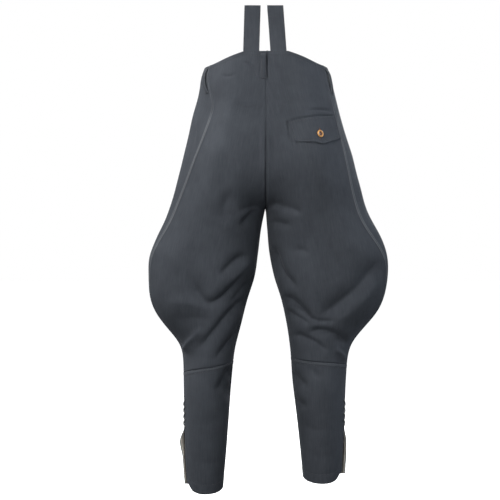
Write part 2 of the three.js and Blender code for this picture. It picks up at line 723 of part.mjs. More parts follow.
function addFly() {
  const place = (u, v) => {
    const bottom = FLY.length - FLY.corner * (1 - Math.sqrt(1 - u ** 4));
    const z = EDGE_FRONT - 1 - bottom * v;
    const distance = lerp(SEAM, FLY.width, u);
    const share = shareFromCentre(LEFT, "front", distance, z);
    return { side: LEFT, panel: "front", share, z, out: SEAM + PATCH };
  };
  add("fly", patch(5, 10, PATCH, place), twill);
}

// A four-hole button on a patch: its back lies just clear of the patch's outer face.
function addButton(name, side, panel, { across, z }) {
  const { radius, wall: height, bevel, hole, hole_at: at } = BUTTON;
  const face = new THREE.Shape().absarc(0, 0, radius - bevel, 0, 2 * Math.PI);
  for (let i = 0; i < 4; i++) {
    const turn = (Math.PI / 2) * (i + 0.5);
    const centre = [at * Math.SQRT2 * Math.cos(turn), at * Math.SQRT2 * Math.sin(turn)];
    face.holes.push(new THREE.Path().absarc(...centre, hole, 0, 2 * Math.PI, true));
  }
  const geometry = new THREE.ExtrudeGeometry(face, {
    depth: height - 2 * bevel,
    bevelThickness: bevel,
    bevelSize: bevel,
    bevelSegments: 1,
    curveSegments: 8,
  });
  geometry.translate(0, 0, bevel);
  const share = shareFromCentre(side, panel, across, z);
  const normal = surfaceNormal(side, panel, share, z);
  const mesh = add(name, geometry, wood);
  mesh.position.copy(clothPoint(side, panel, share, z)).addScaledVector(normal, PATCH + 2 * SEAM);
  mesh.quaternion.setFromUnitVectors(new THREE.Vector3(0, 0, 1), normal);
}

addFlap();
addButton("pocket_button", RIGHT, "back", FLAP_BUTTON);
addFly();
addButton("waist_button", LEFT, "front", WAIST_BUTTON);

export default breeches;
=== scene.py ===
import math

import bmesh
import bpy
import numpy as np
from mathutils import Matrix, Vector


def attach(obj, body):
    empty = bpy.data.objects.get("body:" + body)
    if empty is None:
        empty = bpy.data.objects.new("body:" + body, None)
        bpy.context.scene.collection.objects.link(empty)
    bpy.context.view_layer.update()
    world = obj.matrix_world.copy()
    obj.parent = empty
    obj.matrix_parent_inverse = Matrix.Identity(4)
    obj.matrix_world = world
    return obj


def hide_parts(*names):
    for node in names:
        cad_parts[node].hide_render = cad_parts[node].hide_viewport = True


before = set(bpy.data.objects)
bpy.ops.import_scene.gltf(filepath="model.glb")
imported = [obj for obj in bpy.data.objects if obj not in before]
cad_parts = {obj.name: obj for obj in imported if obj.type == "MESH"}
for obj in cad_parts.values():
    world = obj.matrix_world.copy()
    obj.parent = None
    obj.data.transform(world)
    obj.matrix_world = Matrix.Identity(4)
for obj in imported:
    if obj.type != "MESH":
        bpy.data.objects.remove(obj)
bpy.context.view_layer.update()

# ---- Camera -------------------------------------------------------------------------------
lens = bpy.data.cameras.new("camera")
lens.sensor_width = 36
lens.lens = 109.6
lens.clip_end = 60
camera = bpy.data.objects.new("camera", lens)
camera.location = (0.03565, 3.5, -0.400)
camera.rotation_euler = (math.radians(90), 0, math.radians(180))
bpy.context.scene.collection.objects.link(camera)
bpy.context.scene.camera = camera

# ---- Driving dimensions, in millimetres ---------------------------------------------------
MM = 0.001
LEFT, RIGHT = 1, -1  # the wearer's, and the sign of x there
SIDES, PANELS = (LEFT, RIGHT), ("back", "front")
NAMES = {LEFT: "left", RIGHT: "right"}
CLOTH = 1.8  # wall of the twill with its seam allowances
SEAM = 0.3  # clearance along the seams and under each piece that lies on the cloth

# Top edge: its height at the centre back, the sides and the centre front, the share of the back
# over which it runs level, how straight its slope stays round the hip, and its turning.
EDGE_BACK, EDGE_SIDE, EDGE_FRONT, EDGE_LEVEL, EDGE_TURN, EDGE_FOLD = 44, 17, 2, 0.465, 0.25, 10
# Heights where the centre seams start to turn under, and the place where they meet.
SEAT_Z, FLY_Z, CROTCH_Z, CROTCH_Y = -190, -225, -303, -8
KNEE = {LEFT: (-653, 28), RIGHT: (-645, 18)}  # height inside, and the drop to the side seam
HEM = {LEFT: -944, RIGHT: -920}
HEM_SAG, HEM_CORNER, HEM_FOLD = 11, 12, 21  # sag in the middle, rise at the slit, turning
# Slit: its top, the width of the strip that turns outward, and the curl of its very edge.
SLIT_TOP, TURN_REACH, SLIT_CURL = -735, 26, 0.45
# How far sewn edges are brought together, and how near the centre plane the crotch is closed.
SEAM_CLOSING, CROTCH_CLOSING = 0.17, 1.6
PATCH = 1.3  # wall of the flap and the fly
FACING_WALL, FACING_TOP, FACING_SHARE = 0.8, -815, 0.823
FLY_WIDTH, FLY_LENGTH, FLY_CORNER = 37, 176, 30
# Flap: where its inner edge starts, how that slants, its distance from the side seam, its size.
FLAP_INNER, FLAP_SLANT, FLAP_FROM_SIDE, FLAP_WIDTH, FLAP_DEPTH = 51, 11, 5, 139, 60
LOOP_WIDTH, LOOP_WALL = 11.5, 1.3
# Lace: width, wall, reach to each side of the slit, top, drop with each crossing.
LACE_WIDTH, LACE_WALL, LACE_REACH, LACE_TOP, LACE_DROP, CROSSINGS = 2.4, 1.4, 9, -745, 7.4, 8
BUTTON_RADIUS, BUTTON_WALL, HOLE, HOLE_AT = 8.5, 3.2, 1.1, 2.1
BUTTON_ACROSS, BUTTON_DOWN = 0.5, 0.62  # where the flap is drawn in by its button
# Buttons: name, side, panel, distance from the centre seam, height.
BUTTONS = [("pocket_button", RIGHT, "back", 122, -143), ("waist_button", LEFT, "front", 19, -17)]

# Half widths of the outline: z, wearer's left, wearer's right.
WIDTHS = [
    (50, 132, 135), (18, 139, 142), (0, 147, 149), (-30, 151, 155), (-101, 169, 174),
    (-156, 181, 190), (-212, 195, 206), (-267, 208, 220), (-322, 227, 238), (-377, 252, 268),
    (-432, 269, 282), (-488, 268, 277), (-543, 253, 256), (-584, 222, 221), (-612, 199, 199),
    (-639, 190, 190), (-695, 188, 185), (-860, 187, 180), (-960, 180, 173),
]
# Inseam: z, distance from the centre plane on the left and on the right.
INSEAM = [
    (-303, 0.4, 0.4), (-350, 10, 4), (-405, 17, 9), (-460, 25, 20), (-515, 42, 37), (-570, 56, 49),
    (-626, 70, 57), (-695, 78, 62), (-790, 85, 73), (-846, 89, 79), (-960, 99, 90),
]
# Depths: z, back, front, dip of the centre seam, deepest point across the back and the front,
# bluntness of the front's outer edge.
DEPTHS = [
    (50, 106, -104, 0.5, 0.34, 0.4, 0.55), (0, 111, -112, 1, 0.34, 0.4, 0.55),
    (-60, 122, -119, 1, 0.38, 0.42, 0.55), (-120, 137, -121, 3, 0.42, 0.42, 0.55),
    (-190, 148, -118, 9, 0.44, 0.4, 0.52), (-240, 143, -114, 12, 0.43, 0.38, 0.48),
    (-303, 123, -112, 12, 0.42, 0.38, 0.42), (-350, 109, -110, 12, 0.4, 0.38, 0.36),
    (-405, 101, -106, 12, 0.37, 0.37, 0.31), (-460, 97, -101, 12, 0.36, 0.36, 0.3),
    (-520, 90, -97, 12, 0.37, 0.37, 0.32), (-570, 79, -90, 12, 0.41, 0.41, 0.4),
    (-612, 70, -81, 12, 0.46, 0.46, 0.5), (-653, 66, -72, 12, 0.5, 0.5, 0.55),
    (-710, 68, -63, 12, 0.5, 0.5, 0.55), (-800, 58, -54, 12, 0.5, 0.5, 0.55),
    (-960, 45, -49, 12, 0.5, 0.5, 0.55),
]
# Side seam: z, inset on the left and right, depth on the left and right, outline's depth, bow.
SIDE_SEAM = [
    (50, 9, 9, 46, 44, 0, 14), (-20, 17, 11, 59, 52, 1, 12), (-83, 46, 14, 84, 64, 4, 9),
    (-150, 38, 18, 89, 74, 6, 8), (-216, 28, 22, 80, 78, 8, 10), (-287, 18, 25, 59, 72, 9, 12),
    (-352, 14, 26, 45, 59, 9, 14), (-400, 6, 13, 28, 38, 8, 24), (-441, 3, 3.5, 18, 20, 7, 28),
    (-480, 1.5, 1.5, 13, 14, 4, 30), (-560, 1, 1, 8, 8, -4, 30), (-612, 0.8, 0.8, 4, 4, -9, 27),
    (-653, 0.6, 0.6, 2, 2, -13, 26), (-960, 0.6, 0.6, -2, -2, -17, 26),
]
# Slit: z, cut back on the back and on the front edge, turn of the front edge left and right.
SLIT = [
    (-600, 0.15, 0.15, 0, 0), (-735, 0.15, 0.15, 0, 0), (-748, 2, 2, 0, 0), (-806, 2.6, 2.6, 0, 0),
    (-840, 5.5, 2.6, 7, 4), (-880, 6.5, 2.6, 3, 5), (-915, 4.5, 2.6, 3, 4.5),
    (-960, 3.5, 2.6, 2, 4),
]
# Flap: place across, top edge, bottom edge.
FLAP_EDGE = [
    (0, -117, -157), (0.05, -115.7, -161.3), (0.2, -111.5, -162.3), (0.36, -107.6, -161.6),
    (0.5, -104.6, -165.5), (0.64, -102.6, -161), (0.9, -99.8, -153), (1, -99, -149),
]
# Straps: name, middle at the top edge, tilt.
STRAPS = [("strap_left", 33, -0.03), ("strap_right", -28, 0.07)]
STRAP_WIDTH, STRAP_WALL, STRAP_TUCK, STRAP_EASE = 36, 2.4, -12, 1
STRAP_TOP, STRAP_LEAN, STRAP_FOLD, STRAP_TURN = 147, 0.09, 27, 2.2
# Belt loops: name, side, at the centre, across, top, length, stand-off, how far it slants back.
LOOPS = [
    ("belt_loop_back", LEFT, True, 6.5, 42, 61, 8.5, 2.5),
    ("belt_loop_left", LEFT, False, 6, 15, 61, 3.6, -8),
    ("belt_loop_right", RIGHT, False, 6, 15, 61, 3.6, -4),
]

# Creases of each panel: points (distance from the centre plane, z), height, how wide the crease
# is above and below its line, the share of its length over which each end fades, and how soft
# the line itself is. A narrow crease is drawn where its shaded side lies, so its valley is lower.
VALLEY_DROP, NARROW, CREASE_DEPTH = 1.0, 9, 1.5
CREASES = {
    ("back", LEFT): [
        ([(8, -299), (24, -303), (40, -308), (62, -314)], -4.2, 14, 6, 0.35, 1.5),
        ([(14, -302), (32, -314), (48, -329), (64, -346)], -5.6, 6, 15, 0.3, 1.2),
        ([(72, -262), (86, -288), (94, -309), (92, -330), (80, -352)], -4.4, 10, 26, 0.35, 3),
        ([(38, -400), (65, -411), (88, -430), (115, -455)], -6.0, 9, 24, 0.28, 1.2),
        ([(26, -410), (48, -440), (70, -468), (92, -490)], 3.0, 14, 9, 0.35, 4),
        ([(18, -440), (36, -462), (54, -486), (72, -506), (96, -522)], -3.8, 8, 13, 0.3, 2),
        ([(36, -436), (57, -466), (75, -489), (92, -504), (108, -513), (125, -517), (141, -510),
          (155, -491), (168, -466), (184, -446)], -8.5, 12, 26, 0.3, 2),
        ([(66, -472), (86, -494), (106, -511), (125, -517), (142, -512), (157, -495)],
         -2.2, 4, 6, 0.3, 1),
        ([(128, -532), (164, -519), (184, -486), (196, -452)], 2.6, 14, 10, 0.35, 6),
        ([(112, -548), (127, -531), (144, -523), (169, -520), (193, -519), (226, -516)],
         3.0, 16, 14, 0.3, 6),
        ([(108, -566), (124, -552), (142, -547), (166, -546), (196, -548), (222, -546)],
         -2.0, 8, 24, 0.35, 4),
        ([(34, -495), (65, -521), (89, -542), (115, -571), (139, -597), (168, -627)],
         -5.6, 7, 13, 0.22, 1.2),
        ([(54, -550), (75, -587), (95, -612), (115, -636), (127, -648)], -4.0, 7, 11, 0.3, 1.2),
        ([(142, -572), (162, -595), (177, -612), (191, -638)], 4.8, 5, 13, 0.25, 2),
        ([(15, -20), (21, -6), (29, 8), (41, 18), (57, 20)], -1.5, 2.2, 2.6, 0.3, 0.8),
        ([(62, -3), (84, -10), (104, -4)], -1.0, 2.4, 3.2, 0.4, 1),
        ([(110, 2), (114, -38), (119, -74)], 0.9, 4, 8, 0.35, 2),
        ([(13, -69), (31, -73), (73, -74)], -0.9, 2.0, 2.0, 0.3, 1),
        ([(12, -120), (15, -170), (12, -230)], -1.8, 10, 10, 0.4, 3),
        ([(70, -130), (86, -210), (112, -290)], -1.4, 24, 28, 0.4, 12),
    ],
    ("back", RIGHT): [
        ([(4, -296), (28, -300), (49, -306), (65, -313), (84, -323)], -4.8, 13, 6, 0.22, 1.5),
        ([(7, -326), (24, -329), (44, -334), (62, -338)], -3.6, 8, 9, 0.3, 1.5),
        ([(50, -400), (75, -391), (104, -401)], -3.4, 9, 9, 0.4, 3),
        ([(24, -384), (32, -420), (45, -448), (63, -468), (80, -484)], -6.5, 8, 16, 0.25, 1.2),
        ([(38, -497), (60, -505), (80, -521), (97, -537), (114, -545)], -5.5, 8, 10, 0.25, 1.2),
        ([(98, -544), (114, -548), (130, -543), (150, -530), (178, -510), (209, -484), (240, -448),
          (268, -413)], -8.0, 17, 26, 0.3, 3),
        ([(58, -519), (79, -535), (99, -549), (119, -555), (139, -557), (163, -554)],
         -3.2, 4, 6, 0.25, 1),
        ([(119, -566), (169, -554), (215, -517), (251, -475), (272, -437)], 4.0, 18, 15, 0.35, 6),
        ([(47, -528), (65, -541), (79, -549), (106, -567)], -3.4, 6, 8, 0.25, 1),
        ([(87, -588), (103, -577), (119, -574), (139, -576), (159, -583), (176, -595), (190, -618)],
         -6.0, 7, 15, 0.22, 1.2),
        ([(52, -593), (75, -586), (91, -591), (111, -600), (129, -611), (149, -625)],
         -4.4, 7, 13, 0.22, 1.2),
        ([(154, -620), (171, -636), (186, -656)], 2.6, 4, 8, 0.3, 2),
        ([(84, -89), (121, -84), (164, -85)], -2.0, 2.6, 2.6, 0.35, 1),
        ([(12, -69), (31, -72), (66, -72)], -0.8, 2.0, 2.0, 0.3, 1),
        ([(49.5, -112), (52.5, -135), (56.5, -155), (64, -166)], -3.2, 1.8, 2.2, 0.08, 0.5),
        ([(50, -113.0), (76, -107.5), (96, -103.5), (113, -100.5), (130, -98.5), (162, -95.5)],
         -2.4, 1.8, 2.2, 0.08, 0.5),
        ([(12, -110), (15, -150), (17, -190), (14, -240)], -1.8, 10, 10, 0.35, 3),
        ([(64, -180), (84, -240), (120, -300)], -1.2, 24, 28, 0.4, 12),
    ],
    ("front", LEFT): [
        ([(10, -296), (44, -318), (88, -330)], -4.0, 12, 9, 0.3, 2),
        ([(40, -400), (84, -440), (130, -470)], -4.6, 14, 20, 0.35, 2),
        ([(52, -492), (104, -544), (168, -560), (226, -516)], -6.0, 18, 12, 0.25, 1.5),
        ([(66, -560), (104, -584), (150, -612)], -3.0, 6, 9, 0.3, 1.5),
        ([(70, -590), (112, -612), (150, -640)], -3.6, 7, 11, 0.3, 1.5),
        ([(158, -86), (154, -130), (158, -178)], 0.9, 2.4, 2.4, 0.4, 1),
        ([(60, -40), (90, -110), (120, -190)], -1.0, 24, 24, 0.4, 10),
    ],
    ("front", RIGHT): [
        ([(8, -298), (40, -316), (84, -332)], -4.0, 12, 9, 0.3, 2),
        ([(36, -404), (80, -446), (128, -480)], -4.6, 14, 20, 0.35, 2),
        ([(48, -500), (100, -552), (164, -566), (228, -524)], -6.0, 18, 12, 0.25, 1.5),
        ([(58, -566), (98, -590), (146, -620)], -3.0, 6, 9, 0.3, 1.5),
        ([(62, -596), (104, -618), (146, -644)], -3.6, 7, 11, 0.3, 1.5),
        ([(60, -50), (88, -120), (116, -200)], -1.0, 24, 24, 0.4, 10),
    ],
    ("calf_back", LEFT): [
        ([(82, -655), (93, -676), (105, -697), (120, -722)], -4.8, 8, 18, 0.3, 2),
        ([(78, -700), (86, -722), (90, -748)], -2.0, 10, 12, 0.4, 3),
        ([(92, -760), (120, -790), (156, -800)], -1.1, 12, 9, 0.4, 4),
        ([(96, -866), (128, -884), (166, -876)], -1.0, 10, 8, 0.4, 4),
    ],
    ("calf_back", RIGHT): [
        ([(58, -666), (72, -680), (88, -696), (103, -714)], -4.0, 8, 15, 0.35, 2),
        ([(100, -656), (116, -672), (130, -692)], -2.4, 8, 14, 0.35, 2),
        ([(58, -727), (70, -735), (86, -745), (100, -756)], -3.4, 7, 14, 0.35, 2),
        ([(80, -790), (106, -806), (140, -808)], -1.6, 12, 9, 0.4, 4),
        ([(88, -850), (120, -868), (160, -860)], -1.0, 10, 8, 0.4, 4),
    ],
    ("calf_front", LEFT): [
        ([(84, -690), (120, -714), (164, -700)], -1.6, 10, 8, 0.4, 3),
        ([(96, -820), (126, -842), (164, -832)], -1.1, 10, 9, 0.4, 4),
    ],
    ("calf_front", RIGHT): [
        ([(68, -684), (106, -706), (150, -694)], -1.6, 10, 8, 0.4, 3),
        ([(86, -806), (116, -828), (156, -820)], -1.1, 10, 9, 0.4, 4),
    ],
}
# Where the cloth is pinched beside the back belt loop: place from the centre, depth, width.
LOOP_PINCH = {LEFT: (14.0, 1.0, 1.6), RIGHT: (2.6, 3.4, 1.8)}
# Relief along seams and turnings: height, distance from the edge, width.
KNEE_BELOW = [(0.5, 4.5, 3.5), (-0.25, 0, 1.8), (-0.4, 10, 1.6)]
KNEE_ABOVE = [(0.25, 4, 3), (-0.25, 0, 1.8)]
HEM_LINE, EDGE_LINE = [(-0.5, HEM_FOLD, 1.3)], [(-0.45, EDGE_FOLD, 1.2)]
SIDE_GROOVE, SIDE_RIDGE = [(-0.6, 0, 1.4)], [(1, 3.4, 2.4)]


# ---- Smooth curves through the tables -----------------------------------------------------
def smooth_curve(places, values):
    """A curve through the values that doesn't overshoot between them."""
    order = np.argsort(places)
    at = np.asarray(places, float)[order]
    value = np.asarray(values, float)[order]
    step = np.diff(at)
    rise = np.diff(value) / step
    mean = (rise[:-1] * step[1:] + rise[1:] * step[:-1]) / (step[:-1] + step[1:])
    limit = np.minimum(np.minimum(abs(rise[:-1]), abs(rise[1:])), abs(mean) / 2)
    inner = (np.sign(rise[:-1]) + np.sign(rise[1:])) * limit
    slope = np.concatenate([rise[:1], inner, rise[-1:]])

    def evaluate(wanted):
        clamped = np.clip(wanted, at[0], at[-1])
        i = np.clip(np.searchsorted(at, clamped) - 1, 0, len(step) - 1)
        h, d = step[i], clamped - at[i]
        c = (3 * rise[i] - 2 * slope[i] - slope[i + 1]) / h
        b = (slope[i] + slope[i + 1] - 2 * rise[i]) / (h * h)
        return value[i] + d * (slope[i] + d * (c + d * b))

    return evaluate


def columns_of(rows):
    places = [row[0] for row in rows]
    return [smooth_curve(places, [row[k] for row in rows]) for k in range(1, len(rows[0]))]


def both(columns):
    return dict(zip(SIDES, columns))


outline, inseam = both(columns_of(WIDTHS)), both(columns_of(INSEAM))
back_depth, front_depth, centre_dip, back_at, front_at, bluntness = columns_of(DEPTHS)
side_columns = columns_of(SIDE_SEAM)
side_inset, side_depth = both(side_columns[:2]), both(side_columns[2:4])
outline_depth, side_bow = side_columns[4:]
slit_back, slit_front, *turns = columns_of(SLIT)
slit_cut, slit_turn = {"back": slit_back, "front": slit_front}, both(turns)
flap_top, flap_bottom = columns_of(FLAP_EDGE)


def lerp(a, b, t):
    return a + (b - a) * t


def ramp(t):
    c = np.clip(t, 0, 1)
    return c * c * (3 - 2 * c)


def bell(t):
    return np.exp(-np.square(t))


def unit(vectors):
    return vectors / np.maximum(np.linalg.norm(vectors, axis=-1, keepdims=True), 1e-12)


# ---- One half's horizontal section: cubic curves, all of them at once ----------------------
CURVE_STEPS = 24
# Lengths of the curves' handles, as shares of the way across or between their ends: at the centre
# seam, beside the deepest point inside and outside, at the side seam, and round the outer edge.
AT_CENTRE, DEEP_INSIDE, DEEP_OUTSIDE, AT_SIDE, AT_EDGE, OVER_HIP = 0.55, 0.5, 0.45, 0.42, 0.55, 0.36
HIP_TURN = 0.12  # angle at which the front's curve comes round to the side seam


def cubic(controls, t):
    u = 1 - t
    weights = (u**3, 3 * u * u * t, 3 * u * t * t, t**3)
    return sum(w * c[:, None] for w, c in zip(weights, controls))


def running_length(controls):
    points = cubic(controls, np.linspace(0, 1, CURVE_STEPS + 1)[:, None])
    steps = np.hypot(*np.diff(points, axis=1))
    return np.concatenate([np.zeros((1, steps.shape[1])), np.cumsum(steps, axis=0)])


def at_length(controls, run, distance):
    i = np.clip((run < distance).sum(axis=0), 1, CURVE_STEPS)
    low = np.take_along_axis(run, i[None] - 1, 0)[0]
    high = np.take_along_axis(run, i[None], 0)[0]
    t = (i - 1 + np.clip((distance - low) / np.maximum(high - low, 1e-9), 0, 1)) / CURVE_STEPS
    return cubic(controls, t[None])[:, 0]


def cut_curve(controls, y):
    """What is left of a cubic curve beyond the place where it reaches a depth."""
    low, high = np.zeros_like(y), np.ones_like(y)
    way = np.sign(controls[3, 1] - controls[0, 1])
    for _ in range(24):
        middle = (low + high) / 2
        beyond = (cubic(controls, middle[None])[1, 0] - y) * way > 0
        low, high = np.where(beyond, low, middle), np.where(beyond, middle, high)
    a, b, c, d = controls
    ab, bc, cd = lerp(a, b, low), lerp(b, c, low), lerp(c, d, low)
    abc, bcd = lerp(ab, bc, low), lerp(bc, cd, low)
    return np.array([lerp(abc, bcd, low), bcd, cd, d])


def inner_curve(panel, inner, z, deepest):
    """From the centre seam or inseam round to the deepest point."""
    back = panel == "back"
    turn = SEAT_Z if back else FLY_Z
    high = np.maximum(z, turn)
    full_y = back_depth(high) - centre_dip(high) if back else front_depth(high) + 1
    under = np.clip((turn - z) / (turn - CROTCH_Z), 0, 1)
    y = lerp(CROTCH_Y, full_y, np.sqrt(1 - under * under))
    dx = deepest[0] - inner
    before = [deepest[0] - DEEP_INSIDE * dx, deepest[1]]
    level = np.array([[inner, y], [inner + AT_CENTRE * dx, y], before, deepest])
    reach = AT_CENTRE * abs(deepest[1] - CROTCH_Y) * (1 if back else -1)
    crotch = np.full_like(inner, CROTCH_Y)
    leg = np.array([[inner, crotch], [inner, crotch + reach], before, deepest])
    rest = cut_curve(leg, y)
    rest[0, 0] = inner
    return lerp(level, rest, under**2)


def outer_curves(panel, deepest, corner, outermost, bow, blunt):
    """From the deepest point out to the side seam, on the front round the outer edge first."""
    if panel == "back":
        dx, dy = corner[0] - deepest[0], deepest[1] - corner[1]
        arrive = np.arctan2(dy, dx) + np.radians(bow)
        reach = AT_SIDE * np.hypot(dx, dy)
        into = [corner[0] - reach * np.cos(arrive), corner[1] + reach * np.sin(arrive)]
        return [np.array([deepest, [deepest[0] + DEEP_OUTSIDE * dx, deepest[1]], into, corner])]
    round_edge = np.array([
        deepest,
        [lerp(deepest[0], outermost[0], AT_EDGE), deepest[1]],
        [outermost[0], lerp(outermost[1], deepest[1], blunt)],
        outermost,
    ])
    dx, dy = outermost[0] - corner[0], corner[1] - outermost[1]
    arrive = np.arctan2(dy, dx) - HIP_TURN
    reach = OVER_HIP * np.hypot(dx, dy)
    into = [corner[0] + reach * np.cos(arrive), corner[1] - reach * np.sin(arrive)]
    over_hip = np.array([outermost, [outermost[0], outermost[1] + reach], into, corner])
    return [round_edge, over_hip]


DEEPEST = {"back": 0.45, "front": 0.42}  # share of each panel that lies inside its deepest point


def plain_surface(side, panel, share, z):
    """Points of the plain surface, and the lengths of its curves inside and outside."""
    share, z = np.broadcast_arrays(np.asarray(share, float), np.asarray(z, float))
    shape = share.shape
    share, z = share.ravel(), z.ravel()
    outer = outline[side](z)
    inner = np.where(z > CROTCH_Z, 0, inseam[side](z))
    place, depth = (back_at, back_depth) if panel == "back" else (front_at, front_depth)
    deepest = np.array([inner + place(z) * (outer - inner), depth(z)])
    corner = np.array([outer - side_inset[side](z), side_depth[side](z)])
    outermost = np.array([outer, outline_depth(z)])
    inside = inner_curve(panel, inner, z, deepest)
    outside = outer_curves(panel, deepest, corner, outermost, side_bow(z), bluntness(z))
    run = running_length(inside)
    runs = [running_length(controls) for controls in outside]
    inner_length = run[-1]
    outer_length = sum(r[-1] for r in runs)
    split = DEEPEST[panel]
    near = at_length(inside, run, np.clip(share / split, 0, 1) * inner_length)
    beyond = np.clip((share - split) / (1 - split), 0, 1) * outer_length
    far = at_length(outside[0], runs[0], np.minimum(beyond, runs[0][-1]))
    if len(outside) > 1:
        past = at_length(outside[1], runs[1], np.maximum(beyond - runs[0][-1], 0))
        far = np.where(beyond > runs[0][-1], past, far)
    x, y = np.where(share < split, near, far)
    points = np.stack([side * x, y, z], axis=-1).reshape(shape + (3,))
    return points, inner_length.reshape(shape), outer_length.reshape(shape)


# ---- Edges of the panels ------------------------------------------------------------------
CORNER_FROM, SAG_SPAN = 0.72, 1.12  # where the hem's corner starts to rise, and its sag's pace
HIP_ROWS, SEAT_ROWS, THIGH_ROWS, CALF_ROWS = 92, 46, 138, 116
COLUMNS, CALF_COLUMNS, CROWDING = 104, 64, 0.45


def top_edge(panel, share):
    if panel == "front":
        return lerp(EDGE_FRONT, EDGE_SIDE, ramp(share))
    slope = np.maximum(0, (share - EDGE_LEVEL) / (1 - EDGE_LEVEL))
    return lerp(EDGE_BACK, EDGE_SIDE, slope * (1 + EDGE_TURN * (1 - slope)))


def knee_seam(side, share):
    return KNEE[side][0] - KNEE[side][1] * share


def hem_edge(side, panel, share):
    corner = HEM_CORNER * ramp((share - CORNER_FROM) / (1 - CORNER_FROM))
    if panel == "front":
        return HEM[side] + corner / 2
    return HEM[side] - HEM_SAG * np.sin(np.pi * np.minimum(1, share * SAG_SPAN)) + corner


def column_shares(columns):
    """Columns from the centre to the side, closer together beside both seams."""
    t = np.linspace(0, 1, columns + 1)
    return t - CROWDING * np.sin(2 * np.pi * t) / (2 * np.pi)


def thigh_heights(side, panel, share):
    rows = [lerp(top_edge(panel, share), SEAT_Z, i / HIP_ROWS) for i in range(HIP_ROWS)]
    away = ramp(share / 0.4)
    for i in range(SEAT_ROWS):
        t = i / SEAT_ROWS
        rows.append(lerp(SEAT_Z, CROTCH_Z, lerp(math.sin(math.pi / 2 * t), t, away)))
    bottom = knee_seam(side, share)
    rows += [lerp(CROTCH_Z, bottom, i / THIGH_ROWS) for i in range(THIGH_ROWS + 1)]
    return np.array(rows)


def calf_heights(side, panel, share):
    top = knee_seam(side, share)
    bottom = hem_edge(side, panel, share)
    return np.array([lerp(top, bottom, i / CALF_ROWS) for i in range(CALF_ROWS + 1)])


# ---- Creases ------------------------------------------------------------------------------
def smooth_path(points, spacing=1.2):
    """A smooth line through the points, with a point about every spacing."""
    p = np.asarray(points, float)
    run = np.concatenate([[0], np.cumsum(np.linalg.norm(np.diff(p, axis=0), axis=1))])
    padded = np.vstack([2 * p[0] - p[1], p, 2 * p[-1] - p[-2]])
    wanted = np.linspace(0, run[-1], max(12, int(run[-1] / spacing)))
    i = np.clip(np.searchsorted(run, wanted, side="right") - 1, 0, len(p) - 2)
    t = ((wanted - run[i]) / (run[i + 1] - run[i]))[:, None]
    a, b, c, d = padded[i], padded[i + 1], padded[i + 2], padded[i + 3]
    bend, twist = 2 * a - 5 * b + 4 * c - d, 3 * b - a - 3 * c + d
    return 0.5 * (2 * b + (c - a) * t + bend * t**2 + twist * t**3)


def crease_height(crease, x, z):
    """One crease's height at every point: a ridge, or a trough where its height is negative."""
    points, height, above, below, fade, soft = crease
    path = smooth_path(points)
    ahead = unit(np.gradient(path, axis=0))
    outward = np.sign(ahead[:, 0].sum())
    if height < 0 and above <= NARROW:
        path = path + VALLEY_DROP * above * outward * ahead[:, ::-1] * (1, -1)
    reach = 3 * max(above, below) + soft
    low, high = path.min(axis=0) - reach, path.max(axis=0) + reach
    near = (x > low[0]) & (x < high[0]) & (z > low[1]) & (z < high[1])
    out = np.zeros_like(x)
    dx = x[near][:, None] - path[:, 0]
    dz = z[near][:, None] - path[:, 1]
    squared = dx * dx + dz * dz
    i = squared.argmin(axis=1)
    pick = np.arange(len(i))
    over = dz[pick, i] * ahead[i, 0] - dx[pick, i] * ahead[i, 1] > 0
    if outward < 0:
        over = ~over
    along = i / (len(path) - 1)
    ends = ramp(along / fade) * ramp((1 - along) / fade)
    away = (np.sqrt(squared[pick, i] + soft * soft) - soft) / np.where(over, above, below)
    out[near] = height * ends * np.maximum(0, 1 - away / 3) ** 3
    return out


# The cloth's own unevenness: long shallow waves, one set for each panel.
WAVES, WAVE_LENGTHS, WAVE_TURN, WAVE_HEIGHT = 9, (48, 150), 0.9, 0.0026


def unevenness(seed, x, z):
    rng = np.random.default_rng(seed)
    out = np.zeros_like(x)
    for _ in range(WAVES):
        length = rng.uniform(*WAVE_LENGTHS)
        turn = rng.uniform(-WAVE_TURN, WAVE_TURN)
        phase = rng.uniform(0, 2 * np.pi)
        height = WAVE_HEIGHT * length * rng.uniform(0.5, 1)
        along = (z * np.cos(turn) + x * np.sin(turn)) / length
        out += height * np.sin(2 * np.pi * along + phase + 0.9 * np.sin(x / 61 + phase * 2))
    return out


# ---- Panels -------------------------------------------------------------------------------
SOFTENING, MITRE = 36, 9  # passes down the panel, and how far a seam's shared normal reaches
# How far from the centre seam, the side seam and the knee seam the creases reach full height,
# and how far from the first two the unevenness does.
CREASE_FADE, WAVE_FADE = (16, 22, 12), 30
CALF_WAVES = 0.5  # share of the unevenness that shows on the calf
SEAM_GROOVE, SEAM_RIDGE = (-1.0, 0, 1.7), (4.34, 3.15)  # the ridge's place and width
CLEFT_DEPTH, CLEFT_WIDTH = 2.8, 3.0


